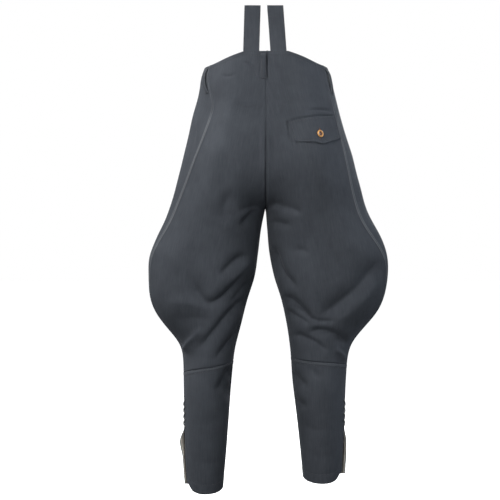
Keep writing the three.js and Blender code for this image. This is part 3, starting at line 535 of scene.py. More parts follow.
class Panel:
    """One panel's outer face as rows and columns of points; places on it can be looked up."""

    def __init__(self, side, panel, share, heights):
        self.side, self.panel, self.share = side, panel, share
        self.z = heights
        grid = np.broadcast_to(share, heights.shape)
        _, _, outer_length = plain_surface(side, panel, grid, heights)
        cut = (1 - DEEPEST[panel]) * slit_cut[panel](heights) / outer_length
        self.grid_share = grid * (1 - cut)
        points, inner_length, outer_length = plain_surface(side, panel, self.grid_share, heights)
        self.base = self.softened(points)
        self.from_side = (1 - self.grid_share) / (1 - DEEPEST[panel]) * outer_length
        self.from_centre = self.grid_share / DEEPEST[panel] * inner_length
        self.normal = self.outward(self.base)

    def outward(self, points):
        down, across = np.gradient(points, axis=(0, 1))
        return unit(np.cross(down, across)) * (-self.side if self.panel == "back" else self.side)

    def softened(self, points):
        """The table's knots smoothed down the panel, but not at its edges."""
        soft = points.copy()
        for _ in range(SOFTENING):
            soft[1:-1, :, :2] = (soft[:-2, :, :2] + 2 * soft[1:-1, :, :2] + soft[2:, :, :2]) / 4
        keep = ramp((self.share - 0.05) / 0.2)[None, :, None]
        return lerp(points, soft, keep)

    def at(self, share, z, out=0.0, over=False):
        """Points and normals on the cloth or moved out from it, and over its seams if asked."""
        share, z = np.broadcast_arrays(np.asarray(share, float), np.asarray(z, float))
        shape = share.shape
        share, z = share.ravel(), z.ravel()
        column = np.interp(share, self.share, np.arange(len(self.share)))
        j = np.clip(column.astype(int), 0, len(self.share) - 2)
        s = column - j
        heights = lerp(self.z[:, j], self.z[:, j + 1], s)
        i = np.clip((heights > z).sum(axis=0) - 1, 0, len(self.z) - 2)
        pick = np.arange(len(i))
        t = np.clip((heights[i, pick] - z) / (heights[i, pick] - heights[i + 1, pick]), 0, 1)

        def mixed(grid):
            top = lerp(grid[i, j], grid[i, j + 1], s[:, None])
            low = lerp(grid[i + 1, j], grid[i + 1, j + 1], s[:, None])
            return lerp(top, low, t[:, None]).reshape(shape + (3,))

        normals = unit(mixed(self.normal if over else self.face_normal))
        points = mixed(self.level if over else self.points)
        return points + normals * np.asarray(out)[..., None], normals


def mitre(a, b, distance_a, distance_b):
    """Turn two panels' normals into one at the seam where they meet."""
    shared = unit(a[:, 0] + b[:, 0])
    for normals, distance in ((a, distance_a), (b, distance_b)):
        near = 1 - ramp(distance / MITRE)[..., None]
        normals[:] = unit(lerp(normals, shared[:, None], near))


def join_half(back, front):
    """Shared normals along the side seam, the inseam and the centre plane."""
    closed = back.z[:, -1] > SLIT_TOP
    views = [p.normal[closed][:, ::-1] for p in (back, front)]
    mitre(*views, back.from_side[closed][:, ::-1], front.from_side[closed][:, ::-1])
    for panel, view in zip((back, front), views):
        panel.normal[closed] = view[:, ::-1]
    legs = back.z[:, 0] < CROTCH_Z - 0.01
    views = [p.normal[legs] for p in (back, front)]
    mitre(*views, back.from_centre[legs], front.from_centre[legs])
    for panel, view in zip((back, front), views):
        panel.normal[legs] = view
        flat = panel.normal.copy()
        flat[..., 0] = 0
        near = (1 - ramp(panel.from_centre / MITRE))[..., None] * (~legs)[:, None, None]
        panel.normal = unit(lerp(panel.normal, unit(flat), near))


def raised(rows, distance):
    return sum(height * bell((distance - at) / width) for height, at, width in rows)


def seam_relief(distance, allowance):
    """A sewn seam: a groove at the stitching and a soft ridge over the turned-in edge beside it."""
    return raised([SEAM_GROOVE, (allowance, *SEAM_RIDGE)], distance)


def blurred(grid, times):
    out = grid.copy()
    for _ in range(times):
        out[1:-1] = (out[:-2] + 2 * out[1:-1] + out[2:]) / 4
        out[:, 1:-1] = (out[:, :-2] + 2 * out[:, 1:-1] + out[:, 2:]) / 4
    return out


def crests(out):
    """Where the cloth stands proud of what surrounds it, and so gets rubbed and is given a painted
    highlight.
    """
    return np.clip((blurred(out, 1) - blurred(out, 9)) / 0.9, -1, 1)


def folds_on(p, name, calf, knee, x, seed):
    """Creases and unevenness, which fade out towards the seams."""
    folds = sum(crease_height(crease, x, p.base[..., 2]) for crease in CREASES[name, p.side])
    near_centre, near_side, near_knee = CREASE_FADE
    folds = folds * CREASE_DEPTH * ramp(p.from_centre / near_centre) * ramp(p.from_side / near_side)
    waves = unevenness(seed, x, p.base[..., 2]) * (CALF_WAVES if calf else 1.0)
    waves = waves * ramp(p.from_centre / WAVE_FADE) * ramp(p.from_side / WAVE_FADE)
    return folds * ramp(abs(p.z - knee) / near_knee) + waves


def calf_seams(p, knee):
    """Relief at the calf's seams and hem, and the turn of the slit's front edge."""
    sewn = 1 - ramp((SLIT_TOP - p.z) / 12)
    hem = p.z - p.z[-1]
    out = seam_relief(p.from_side, 0.5) * sewn + seam_relief(p.from_centre, 0.35)
    out += raised(KNEE_BELOW, knee - p.z)
    out += 0.35 * ramp((HEM_FOLD - hem) / 2) + raised(HEM_LINE, hem)
    if p.panel == "front":
        from_edge = np.maximum(0, p.from_side - slit_cut["front"](p.z))
        turned = np.maximum(0, 1 - from_edge / TURN_REACH) ** 2
        out += slit_turn[p.side](p.z) * (turned + SLIT_CURL * turned**4) * (p.z < SLIT_TOP)
    return out


def thigh_seams(p, knee, x):
    """Relief at the seams above the knee, the seat's cleft and the turned-in top edge."""
    proud = 0.8 + 0.9 * bell((p.z + 200) / 130) + 0.3 * np.sin(p.z / 37 + p.side)
    proud *= 1.0 if p.panel == "back" else 0.3
    out = proud * raised(SIDE_RIDGE, p.from_side) + raised(SIDE_GROOVE, p.from_side)
    out += seam_relief(p.from_centre, 0.5) * np.where(p.z > CROTCH_Z + 8, 1, 0.6)
    out += raised(KNEE_ABOVE, p.z - knee)
    if p.panel == "back":
        cleft = ramp((SEAT_Z + 100 - p.z) / 90) * ramp((p.z - CROTCH_Z) / 16)
        out -= CLEFT_DEPTH * cleft * bell(p.from_centre / CLEFT_WIDTH)
        beside, deep, wide = LOOP_PINCH[p.side]
        beside_loop = ramp((EDGE_BACK - p.z) / 4) * ramp((p.z + 22) / 8)
        out -= deep * beside_loop * bell((x - beside) / wide)
    edge = top_edge(p.panel, p.share) - p.z
    return out + 0.3 * ramp((EDGE_FOLD - edge) / 1.5) + raised(EDGE_LINE, edge)


def close_seams(p, calf):
    """Brings sewn edges together, so that no light shows between the panels."""
    for edge, inner in ((0, 1), (-1, -2)):
        sewn = p.z[:, edge] > (SLIT_TOP if calf and edge else -np.inf)
        away = unit(p.points[:, edge] - p.points[:, inner])
        p.points[:, edge] += away * SEAM_CLOSING * sewn[:, None]
    row, inner = (0, 1) if calf else (-1, -2)
    p.points[row] += unit(p.points[row] - p.points[inner]) * SEAM_CLOSING
    middle = p.side * p.points[:, 0, 0] < CROTCH_CLOSING
    p.points[middle, 0, 0] = -p.side * (SEAM_CLOSING - SEAM / 2)


def shape_panel(p, name, calf, seed):
    """Moves the panel's points out by its folds and seams, and marks the seams' painted highlights
    and wear.
    """
    x = p.side * p.base[..., 0]
    knee = knee_seam(p.side, p.share)
    seams = calf_seams(p, knee) if calf else thigh_seams(p, knee, x)
    out = folds_on(p, name, calf, knee, x, seed) + seams
    p.points = p.base + p.normal * out[..., None]
    p.level = p.base + p.normal * blurred(out, 30)[..., None]
    p.points[..., 0] = p.side * np.maximum(p.side * p.points[..., 0], SEAM / 2)
    close_seams(p, calf)
    edges = np.zeros_like(out)
    edges[:, [0, -1]] = 1
    p.face_normal = unit(lerp(p.outward(p.points), p.normal, edges[..., None]))
    # Lighter colour on the seams' crests: partly rubbed wear, partly a painted highlight where
    # ridges catch the light.
    p.worn = crests(seams) * (1 - 0.75 * bell(p.from_centre / 9))
    if not calf:
        # A painted highlight: a thin lighter line along the side seam's ridge, from the hip to
        # mid-thigh.
        along_side = ramp((p.z + 470) / 60) * ramp((-60 - p.z) / 60)
        p.worn = np.maximum(p.worn, bell((p.from_side - 3.0) / 1.5) * along_side)


# ---- Making meshes ------------------------------------------------------------------------
def shade_smooth(mesh):
    mesh.polygons.foreach_set("use_smooth", np.ones(len(mesh.polygons), bool))


def mesh_of(bm, name):
    mesh = bpy.data.meshes.new(name)
    bm.to_mesh(mesh)
    bm.free()
    shade_smooth(mesh)
    return mesh


def show(mesh, name, material):
    piece = bpy.data.objects.new(name, mesh)
    bpy.context.scene.collection.objects.link(piece)
    mesh.materials.append(material)
    return piece


def belongs(piece, node=None):
    """The piece rides the part's one body and, where it has a node, replaces that solid."""
    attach(piece, "root")
    if node:
        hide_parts(node)


def add_relief(mesh, values):
    mesh.attributes.new("relief", "FLOAT", "POINT").data.foreach_set("value", values)


def sheet_mesh(name, points, normals, relief=None):
    """A grid mesh laid through rows and columns of points, its face along the normals."""
    rows, columns = points.shape[:2]
    bm = bmesh.new()
    bmesh.ops.create_grid(bm, x_segments=columns - 1, y_segments=rows - 1, size=1)
    mesh = mesh_of(bm, name)
    flat = np.empty(len(mesh.vertices) * 3)
    mesh.vertices.foreach_get("co", flat)
    flat = flat.reshape(-1, 3)
    j = np.rint((flat[:, 0] + 1) / 2 * (columns - 1)).astype(int)
    i = np.rint((1 - flat[:, 1]) / 2 * (rows - 1)).astype(int)
    mesh.vertices.foreach_set("co", (points[i, j] * MM).ravel())
    corner = np.empty(len(mesh.loops), int)
    mesh.loops.foreach_get("vertex_index", corner)
    layer = mesh.uv_layers.new(name="cut")
    layer.data.foreach_set("uv", (real_size(points)[i, j] * MM)[corner].ravel())
    if relief is not None:
        add_relief(mesh, relief[i, j])
    mesh.update()
    middle = mesh.polygons[len(mesh.polygons) // 2]
    outward = normals[i, j][middle.vertices[0]]
    if Vector(outward).dot(middle.normal) < 0:
        mesh.flip_normals()
    return mesh


def thickness(piece, wall, offset=-1.0):
    solid = piece.modifiers.new("wall", "SOLIDIFY")
    solid.thickness = wall * MM
    solid.offset = offset
    solid.use_quality_normals = True


def real_size(points):
    """Place of each point on the flat cut: across from the middle column, down from the top."""
    across = np.linalg.norm(np.diff(points, axis=1), axis=-1)
    down = np.linalg.norm(np.diff(points, axis=0), axis=-1)
    u = np.concatenate([np.zeros((len(points), 1)), np.cumsum(across, axis=1)], axis=1)
    v = np.concatenate([np.zeros((1, points.shape[1])), np.cumsum(down, axis=0)], axis=0)
    middle = points.shape[1] // 2
    v = np.broadcast_to(v[:, middle : middle + 1], u.shape)
    return np.stack([u - u[:, middle : middle + 1], -v], axis=-1)


def cloth_piece(node, points, normals, wall, relief=None, offset=-1.0,
                material=None, ending="_cloth"):
    """A walled sheet in place of a solid, of twill where no other material is given."""
    piece = show(sheet_mesh(node, points, normals, relief), node + ending, material or TWILL)
    thickness(piece, wall, offset)
    belongs(piece, node)


# ---- Finishes -----------------------------------------------------------------------------
RIB_SPACING = 0.001  # of the twill, in metres


class Nodes:
    """A tree of shader nodes, joined one to the next."""

    def __init__(self, tree):
        self.nodes, self.links = tree.nodes, tree.links

    def join(self, value, socket):
        if isinstance(value, bpy.types.NodeSocket):
            self.links.new(value, socket)
        else:
            socket.default_value = value

    def add(self, kind, inputs=(), **settings):
        node = self.nodes.new("ShaderNode" + kind)
        for key, value in settings.items():
            setattr(node, key, value)
        for key, value in dict(inputs).items():
            self.join(value, node.inputs[key])
        return node

    def span(self, value, low, high, to_low=0.0, to_high=1.0):
        return self.add("MapRange", {0: value, 1: low, 2: high, 3: to_low, 4: to_high}).outputs[0]

    def mixed(self, factor, a, b):
        return self.add("Mix", {0: factor, 6: a, 7: b}, data_type="RGBA").outputs[2]


class Finish(Nodes):
    """A material; each keyword is one of the shader's inputs."""

    def __init__(self, name, roughness, **sockets):
        self.material = bpy.data.materials.new(name)
        self.material.use_nodes = True
        super().__init__(self.material.node_tree)
        self.shader = self.nodes["Principled BSDF"]
        for socket, value in dict(sockets, Roughness=roughness).items():
            self.shader.inputs[socket.replace("_", " ")].default_value = value

    def place(self, scale=(1, 1, 1), turn=0.0, uv=False):
        source = self.add("UVMap", uv_map="cut") if uv else self.add("TexCoord")
        vector = source.outputs["UV" if uv else "Object"]
        mapping = {"Vector": vector, "Scale": scale, "Rotation": (0, 0, math.radians(turn))}
        return self.add("Mapping", mapping).outputs["Vector"]

    def noise(self, vector, scale, detail=3.0, roughness=0.55):
        inputs = {"Vector": vector, "Scale": scale, "Detail": detail, "Roughness": roughness}
        return self.add("TexNoise", inputs).outputs["Fac"]

    def wave(self, vector, scale, distortion, detail, detail_scale=1.0, direction="X"):
        inputs = {"Vector": vector, "Scale": scale, "Distortion": distortion, "Detail": detail,
                  "Detail Scale": detail_scale}
        return self.add("TexWave", inputs, bands_direction=direction).outputs["Fac"]

    def maths(self, operation, a, b):
        return self.add("Math", {0: a, 1: b}, operation=operation).outputs[0]

    def marked(self):
        return self.add("Attribute", attribute_name="relief").outputs["Fac"]

    def bump(self, height, strength, distance, before=None):
        inputs = {"Height": height, "Strength": strength, "Distance": distance}
        if before is not None:
            inputs["Normal"] = before
        return self.add("Bump", inputs).outputs["Normal"]

    def finish(self, colour, normal, roughness=None):
        for value, socket in ((colour, "Base Color"), (normal, "Normal"), (roughness, "Roughness")):
            if value is not None:
                self.join(value, self.shader.inputs[socket])
        return self.material


def twill_finish(name, dark, light, worn):
    """Heavy twill: fine slanting ribs, slubs along the warp, crests lighter with wear and painted
    highlight, and dull hollows.
    """
    f = Finish(name, 0.9, Sheen_Weight=0.10, Sheen_Roughness=0.35, Specular_IOR_Level=0.14,
               Sheen_Tint=(0.75, 0.8, 0.9, 1))
    ribs = f.wave(f.place(turn=28, uv=True), 0.314 / RIB_SPACING, 1.2, 2.0, 1.5)
    slub = f.noise(f.place((420, 26, 1), uv=True), 1.0, 3.0, 0.6)
    fuzz = f.noise(f.place(uv=True), 900.0, 3.0, 0.7)
    cloud = f.noise(f.place(), 9.0, 3.0, 0.5)
    mottle = f.noise(f.place(), 46.0, 4.0, 0.6)
    tone = f.maths("ADD", f.span(cloud, 0.3, 0.7, 0.0, 0.45), f.span(mottle, 0.3, 0.7, 0.0, 0.25))
    tone = f.maths("ADD", tone, f.span(slub, 0.3, 0.7, -0.1, 0.35))
    tone = f.maths("ADD", tone, f.span(ribs, 0.0, 1.0, -0.1, 0.15))
    # Painted highlight and wear: the marked crests and the side seam are mixed towards the lighter
    # colour.
    highlight_and_wear_mix = f.maths("MULTIPLY", f.span(f.marked(), 0.2, 1.0), f.span(fuzz, 0.25, 0.75, 0.25, 0.8))
    colour = f.mixed(highlight_and_wear_mix, f.mixed(tone, dark, light), worn)
    normal = f.bump(fuzz, 0.25, 0.00015, f.bump(ribs, 0.35, 0.00022))
    return f.finish(colour, normal, f.span(fuzz, 0.3, 0.7, 0.82, 0.95))


def facing_finish(name):
    """Undyed drill: a plain close weave, a little soiled in places."""
    f = Finish(name, 0.85, Sheen_Weight=0.15, Sheen_Roughness=0.5)
    yarns = [f.wave(f.place(turn=turn, uv=True), 340.0, 1.0, 2.0) for turn in (45, -45)]
    weave = f.maths("MAXIMUM", *yarns)
    soil = f.noise(f.place(), 60.0, 4.0, 0.6)
    colour = f.mixed(f.span(soil, 0.35, 0.75), (0.80, 0.76, 0.68, 1), (0.62, 0.58, 0.50, 1))
    colour = f.mixed(f.span(weave, 0.0, 1.0, 0.35, 0.0), colour, (0.30, 0.28, 0.24, 1))
    return f.finish(colour, f.bump(weave, 0.4, 0.0002))


def wood_finish(name):
    """Turned, oiled wood: fine grain in streaks, darker in the dish and round the holes."""
    f = Finish(name, 0.38, Coat_Weight=0.25, Coat_Roughness=0.25)
    grain = f.noise(f.place((260, 260, 1500)), 1.0, 4.0, 0.6)
    streak = f.wave(f.place(), 160.0, 6.0, 3.0, 1.2)
    colour = f.mixed(f.span(grain, 0.3, 0.7), (0.42, 0.17, 0.035, 1), (0.78, 0.42, 0.12, 1))
    colour = f.mixed(f.span(streak, 0.3, 0.9, 0.0, 0.55), colour, (0.30, 0.11, 0.02, 1))
    colour = f.mixed(f.span(f.marked(), 0.0, 1.0), colour, (0.11, 0.035, 0.012, 1))
    return f.finish(colour, f.bump(grain, 0.25, 0.0001))


def thread_finish(name, dark, light):
    """Twisted thread: slanting plies."""
    f = Finish(name, 0.7, Sheen_Weight=0.2, Sheen_Roughness=0.4)
    ply = f.wave(f.place(), 420.0, 0.6, 1.0, direction="DIAGONAL")
    return f.finish(f.mixed(ply, dark, light), f.bump(ply, 0.4, 0.0001))


# The third colour is the lighter one painted on crests and along the side seam: partly wear, partly
# painted highlight.
TWILL = twill_finish("slate_twill", (0.038, 0.0425, 0.051, 1), (0.064, 0.0705, 0.083, 1),
                     (0.24, 0.25, 0.265, 1))
FACING = facing_finish("cream_drill")
WOOD = wood_finish("turned_wood")
THREAD = thread_finish("grey_thread", (0.022, 0.024, 0.028, 1), (0.050, 0.053, 0.060, 1))
CORD = thread_finish("flat_cord", (0.030, 0.033, 0.038, 1), (0.075, 0.080, 0.088, 1))
BROWN_THREAD = thread_finish("buttonhole_thread", (0.10, 0.035, 0.015, 1), (0.24, 0.10, 0.045, 1))

# ---- The legs -----------------------------------------------------------------------------
SECTIONS = [("", thigh_heights, COLUMNS), ("calf_", calf_heights, CALF_COLUMNS)]
panels = {}
for side in SIDES:
    for prefix, heights, columns in SECTIONS:
        share = column_shares(columns)
        half = {panel: Panel(side, panel, share, heights(side, panel, share)) for panel in PANELS}
        join_half(half["back"], half["front"])
        for panel, p in half.items():
            seed = 11 + 7 * (side == RIGHT) + 3 * (panel == "front") + 29 * bool(prefix)
            shape_panel(p, prefix + panel, bool(prefix), seed)
            panels[prefix + panel, side] = p
            cloth_piece(prefix + panel + "_" + NAMES[side], p.points, p.normal, CLOTH, p.worn)


def share_from_centre(side, panel, distance, z):
    _, inner, outer = plain_surface(side, panel, np.zeros_like(z), z)
    split = DEEPEST[panel]
    beyond = split + (1 - split) * (distance - inner) / outer
    return np.where(distance < inner, split * distance / inner, beyond)


def share_from_side(side, panel, distance, z):
    _, _, outer = plain_surface(side, panel, np.zeros_like(z), z)
    return 1 - (1 - DEEPEST[panel]) * distance / outer


def picked(test, found, other):
    return tuple(np.where(test[..., None], a, b) for a, b in zip(found, other))


def across_side_seam(side, distance, z, out, prefix=""):
    """Points forward (positive) or back of the side seam."""
    distance, z = np.broadcast_arrays(np.asarray(distance, float), np.asarray(z, float))
    share = {panel: share_from_side(side, panel, abs(distance), z) for panel in PANELS}
    behind, ahead = (panels[prefix + panel, side].at(share[panel], z, out, over=True)
                     for panel in PANELS)
    return picked(distance > 0, ahead, behind)


def across_centre_back(distance, z, out):
    """Points to the left (positive) or right of the centre back seam."""
    distance, z = np.broadcast_arrays(np.asarray(distance, float), np.asarray(z, float))
    share = share_from_centre(LEFT, "back", abs(distance), z)
    left, right = (panels["back", side].at(share, z, out, over=True) for side in SIDES)
    return picked(distance >= 0, left, right)


def from_centre_seam(side, panel, distance, z, out):
    """Points on a panel at a distance from its centre seam."""
    share = share_from_centre(side, panel, distance + 0 * z, z)
    return panels[panel, side].at(share, z, out)


# ---- Facings ------------------------------------------------------------------------------
for side in SIDES:
    p = panels["calf_front", side]
    first = np.searchsorted(p.share, FACING_SHARE)
    keep = p.z[:, -1] < FACING_TOP
    normals = p.normal[keep][:, first:]
    points = p.points[keep][:, first:] - normals * (CLOTH + SEAM)
    cloth_piece("facing_" + NAMES[side], points, normals, FACING_WALL,
                material=FACING)

# ---- Straps -------------------------------------------------------------------------------
STRAP_ROWS, STRAP_COLUMNS = 44, 17  # rows up the body, before the fold


def strap_path():
    """Height, and distance out from the strap's body, from the tucked end over the fold."""
    turn_top = STRAP_TOP - STRAP_TURN
    body = [(z, 0.0) for z in np.linspace(STRAP_TUCK, turn_top, STRAP_ROWS)]
    fold = []
    for t in np.linspace(0, 1, 9)[1:]:
        lift = -STRAP_TURN * (1 - math.cos(math.pi * t))
        fold.append((turn_top + STRAP_TURN * math.sin(math.pi * t), lift))
    end = []
    for t in np.linspace(0, 1, 12)[1:]:
        end.append((turn_top - STRAP_FOLD * t, -2 * STRAP_TURN - 0.5 * math.sin(2.2 * t)))
    return np.array(body + fold + end)


def make_strap(name, middle, tilt, seed):
    path = strap_path()
    u = np.linspace(-0.5, 0.5, STRAP_COLUMNS)
    z = np.broadcast_to(path[:, :1], (len(path), len(u)))
    x = middle + tilt * (z - EDGE_BACK) + u * STRAP_WIDTH
    foot = np.minimum(z, EDGE_BACK - 0.5)
    plain = np.empty_like(x)
    for side in SIDES:
        here = side * x >= 0
        share = share_from_centre(side, "back", abs(x[here]), foot[here])
        plain[here] = plain_surface(side, "back", share, foot[here])[0][..., 1]
    y = plain - CLOTH - STRAP_EASE - STRAP_WALL / 2 - STRAP_LEAN * np.maximum(0, z - EDGE_BACK)
    edge = (0.5 - abs(u)) * STRAP_WIDTH
    rng = np.random.default_rng(seed)
    wave = sum(
        rng.uniform(0.15, 0.4)
        * np.sin(z / rng.uniform(9, 26) + rng.uniform(0, 6) + u * rng.uniform(-4, 4))
        for _ in range(5)
    )
    free = ramp((z - EDGE_BACK - 2) / 30)
    y = y + path[:, 1:] + wave * free - 0.35 * bell((edge - 2.6) / 1.2)
    points = np.stack([x, y, z], axis=-1)
    along = np.gradient(points, axis=0)
    normals = unit(np.stack([np.zeros_like(x), -along[..., 2], along[..., 1]], axis=-1))
    relief = np.broadcast_to(0.5 * bell(edge / 2), x.shape)
    cloth_piece(name, points, normals, STRAP_WALL, relief, offset=0.0)
    return points, normals


strap_forms = [make_strap(*strap, 41 + i) for i, strap in enumerate(STRAPS)]

# ---- Belt loops ---------------------------------------------------------------------------
loop_forms = []
v = np.linspace(0, 1, 49)[:, None]
u = np.linspace(-0.5, 0.5, 11)[None]
edge = (0.5 - abs(u)) * LOOP_WIDTH
for name, side, at_centre, place, top, length, stand_off, crook in LOOPS:
    z = top - length * v + 0 * u
    across = place + u * LOOP_WIDTH - crook * v
    bow = ramp(v / 0.16) * (1 - v) ** 0.45 if at_centre else 1 - abs(2 * v - 1) ** 4
    out = SEAM + LOOP_WALL + stand_off * bow**2 - 0.25 * bell((edge - 1.8) / 0.8)
    if at_centre:
        points, normals = across_centre_back(across, z, out)
    else:
        points, normals = across_side_seam(side, across, z, out)
    relief = np.broadcast_to(0.45 * bell(edge / 1.2), z.shape)
    cloth_piece(name, points, normals, LOOP_WALL, relief)
    loop_forms.append((points, normals))


# ---- Pocket flap and fly ------------------------------------------------------------------
def flap_places(u, v):
    z = lerp(flap_top(u), flap_bottom(u), v)
    inner = share_from_centre(RIGHT, "back", FLAP_INNER + FLAP_SLANT * v + 0 * z, z)
    outer = share_from_side(RIGHT, "back", FLAP_FROM_SIDE + 0 * z, z)
    return lerp(inner, outer, u), z


def flap_grid(u, v):
    share, z = flap_places(u, v)
    free_edge = ramp((v - 0.55) / 0.45) * ramp(u / 0.2) + 0.8 * (1 - ramp(u / 0.12)) * ramp(v / 0.3)
    nearest = np.minimum(np.minimum(u, 1 - u) * FLAP_WIDTH, (1 - v) * FLAP_DEPTH)
    roll = -0.45 * bell((nearest - 5) / 1.1) + 0.25 * bell((nearest - 2) / 2)
    from_button = np.hypot((u - BUTTON_ACROSS) * FLAP_WIDTH, (v - BUTTON_DOWN) * FLAP_DEPTH)
    out = SEAM + PATCH + 0.4 + 0.5 * free_edge + roll - 0.9 * bell(from_button / 13)
    return panels["back", RIGHT].at(share, z, out, over=True)


u, v = np.meshgrid(np.linspace(0, 1, 85), np.linspace(0, 1, 37))
points, normals = flap_grid(u, v)
relief = 0.3 * bell(np.minimum(u * FLAP_WIDTH, (1 - v) * FLAP_DEPTH) / 1.6)
cloth_piece("pocket_flap", points, normals, PATCH, relief)


def fly_grid(u, v):
    bottom = FLY_LENGTH - FLY_CORNER * (1 - np.sqrt(np.maximum(0, 1 - u**4)))
    edge = (1 - u) * FLY_WIDTH
    out = SEAM + PATCH + 0.35 * bell(edge / 2.5) - 0.35 * bell((edge - 5) / 1.2)
    z = EDGE_FRONT - 1 - bottom * v
    return from_centre_seam(LEFT, "front", lerp(SEAM, FLY_WIDTH, u), z, out)


u, v = np.meshgrid(np.linspace(0, 1, 29), np.linspace(0, 1, 89))
points, normals = fly_grid(u, v)
cloth_piece("fly", points, normals, PATCH, 0.5 * bell((1 - u) * FLY_WIDTH / 1.6))

# ---- Buttons ------------------------------------------------------------------------------
# The turned outline: radius and depth below the face, then radius and height round the back.
BUTTON_FACE = [
    (0, 1.05), (1.6, 1.05), (3.6, 1), (4.4, 0.9), (5, 0.45), (5.6, 0.12), (6.4, 0), (7.2, 0.08),
    (7.9, 0.42), (8.35, 1), (BUTTON_RADIUS, 1.6),
]
BUTTON_BACK = [(8.3, 0.7), (7.7, 0.15), (6.8, 0), (0, 0)]


def stand_on(place, normal):
    """Turns and moves a form from the origin, facing up, onto a place on the cloth."""
    turn = Vector((0, 0, 1)).rotation_difference(Vector(normal))
    return Matrix.Translation(Vector(place) * MM) @ turn.to_matrix().to_4x4()


def drill(piece, angle):
    """Cuts one of the four holes through the button."""
    centre = Vector((math.cos(angle), math.sin(angle), 0)) * HOLE_AT * math.sqrt(2) * MM
    bm = bmesh.new()
    bmesh.ops.create_cone(bm, cap_ends=True, segments=20, radius1=HOLE * MM, radius2=HOLE * MM,
                          depth=0.012, matrix=Matrix.Translation(centre))
    cutter = bpy.data.objects.new("drill", mesh_of(bm, "drill"))
    bpy.context.scene.collection.objects.link(cutter)
    cut = piece.modifiers.new("hole", "BOOLEAN")
    cut.operation, cut.object, cut.solver = "DIFFERENCE", cutter, "EXACT"
    bpy.context.view_layer.objects.active = piece
    bpy.ops.object.modifier_apply(modifier=cut.name)
    bpy.data.objects.remove(cutter)


def make_button(name, place, normal):
    bm = bmesh.new()
    outline_points = [(r, BUTTON_WALL - sunk) for r, sunk in BUTTON_FACE] + BUTTON_BACK
    profile = [bm.verts.new((r * MM, 0, h * MM)) for r, h in outline_points]
    edges = [bm.edges.new(pair) for pair in zip(profile[:-1], profile[1:])]
    bmesh.ops.spin(bm, geom=profile + edges, cent=(0, 0, 0), axis=(0, 0, 1), angle=2 * math.pi,
                   steps=64, use_merge=True)
    bmesh.ops.remove_doubles(bm, verts=bm.verts, dist=1e-6)
    bmesh.ops.recalc_face_normals(bm, faces=bm.faces)
    piece = show(mesh_of(bm, name), name + "_turned", WOOD)
    for i in range(4):
        drill(piece, math.pi / 2 * (i + 0.5))
    disc = piece.data
    radii = np.array([math.hypot(vertex.co.x, vertex.co.y) / MM for vertex in disc.vertices])
    add_relief(disc, np.clip((5.4 - radii) / 1.2, 0, 1))
    shade_smooth(disc)
    disc.set_sharp_from_angle(angle=math.radians(40))
    disc.transform(stand_on(place, normal))
    belongs(piece, name)


# ---- Stitching ----------------------------------------------------------------------------
STITCH, STITCH_GAP = 2.6, 1.1
# How far inside a seam or an edge each row runs.
KNEE_ROWS, EDGE_ROWS, SLIT_ROW = (2.2, 9), (1.8, EDGE_FOLD), 5.5
FLAP_ROWS = 0.042, 0.958, 0.05, 0.905  # inner, outer, top and bottom, as shares of the flap
FLY_ROW = 0.865


def sew(bm, points, normals, length=STITCH, gap=STITCH_GAP, thick=0.34, lift=0.18):
    """A row of stitches along a line of points."""
    run = np.concatenate([[0], np.cumsum(np.linalg.norm(np.diff(points, axis=0), axis=1))])

    def along(values, place):
        return np.array([np.interp(place, run, values[:, k]) for k in range(3)])

    count = max(1, int(run[-1] / (length + gap)))
    for start in np.linspace(0, run[-1] - length, count):
        middle = start + length / 2
        ahead = unit(along(points, start + length) - along(points, start))
        up = unit(along(normals, middle))
        axes = np.eye(4)
        axes[:3] = np.transpose([ahead * length / 2, np.cross(up, ahead) * thick, up * thick,
                                 along(points, middle) + up * lift])
        bmesh.ops.create_icosphere(bm, subdivisions=1, radius=1,
                                   matrix=Matrix.Scale(MM, 4) @ Matrix(axes.tolist()))


def sewn_piece(name, lines, material=THREAD, **sizes):
    bm = bmesh.new()
    for points, normals in lines:
        sew(bm, points, normals, **sizes)
    belongs(show(mesh_of(bm, name), name, material))


even = np.linspace(0.01, 0.99, 160)
for side in SIDES:
    heights = np.linspace(SLIT_TOP - 2, HEM[side] + 10, 120)
    rows = {"knee": [], "hem": [], "edge": [], "slit": []}
    for panel in PANELS:
        thigh, calf = panels[panel, side], panels["calf_" + panel, side]
        rows["knee"] += [calf.at(even, knee_seam(side, even) - below) for below in KNEE_ROWS]
        rows["hem"].append(calf.at(even, hem_edge(side, panel, even) + HEM_FOLD))
        rows["edge"] += [thigh.at(even, top_edge(panel, even) - inset) for inset in EDGE_ROWS]
        share = share_from_side(side, panel, slit_cut[panel](heights) + SLIT_ROW, heights)
        rows["slit"].append(calf.at(share, heights))
    for row, stitches in rows.items():
        sewn_piece(row + "_stitching_" + NAMES[side], stitches)

v = np.linspace(0.03, 0.9, 40)
u = np.linspace(0.045, 0.955, 100)
inner, outer, top, bottom = FLAP_ROWS
sewn_piece("flap_stitching", [flap_grid(0 * v + inner, v), flap_grid(u, 0 * u + bottom),
                              flap_grid(u, 0 * u + top), flap_grid(0 * v + outer, v)])
v = np.linspace(0.02, 0.8, 60)
sewn_piece("fly_stitching", [fly_grid(0 * v + FLY_ROW, v)])

stitches = []
shown, centre_column = slice(20, STRAP_ROWS + 1), STRAP_COLUMNS // 2
for points, normals in strap_forms:
    front = points + normals * STRAP_WALL / 2
    rear = points - normals * STRAP_WALL / 2
    for column in (1, -2):
        stitches.append((front[shown, column], normals[shown, column]))
        stitches.append((rear[shown, column], -normals[shown, column]))
    heights = points[:, centre_column, 2]
    level = abs(heights[:STRAP_ROWS] - heights[-3]).argmin()
    for row in (level, -3):
        stitches.append((rear[row, 1:-1], -normals[row, 1:-1]))
sewn_piece("strap_stitching", stitches)

stitches = []
for points, normals in loop_forms:
    for column in (2, -3):
        stitches.append((points[:, column], normals[:, column]))
    for row in (1, 2, -2, -3):
        stitches.append((points[row, 1:-1], normals[row, 1:-1]))
sewn_piece("loop_stitching", stitches, length=2.2, gap=0.7)

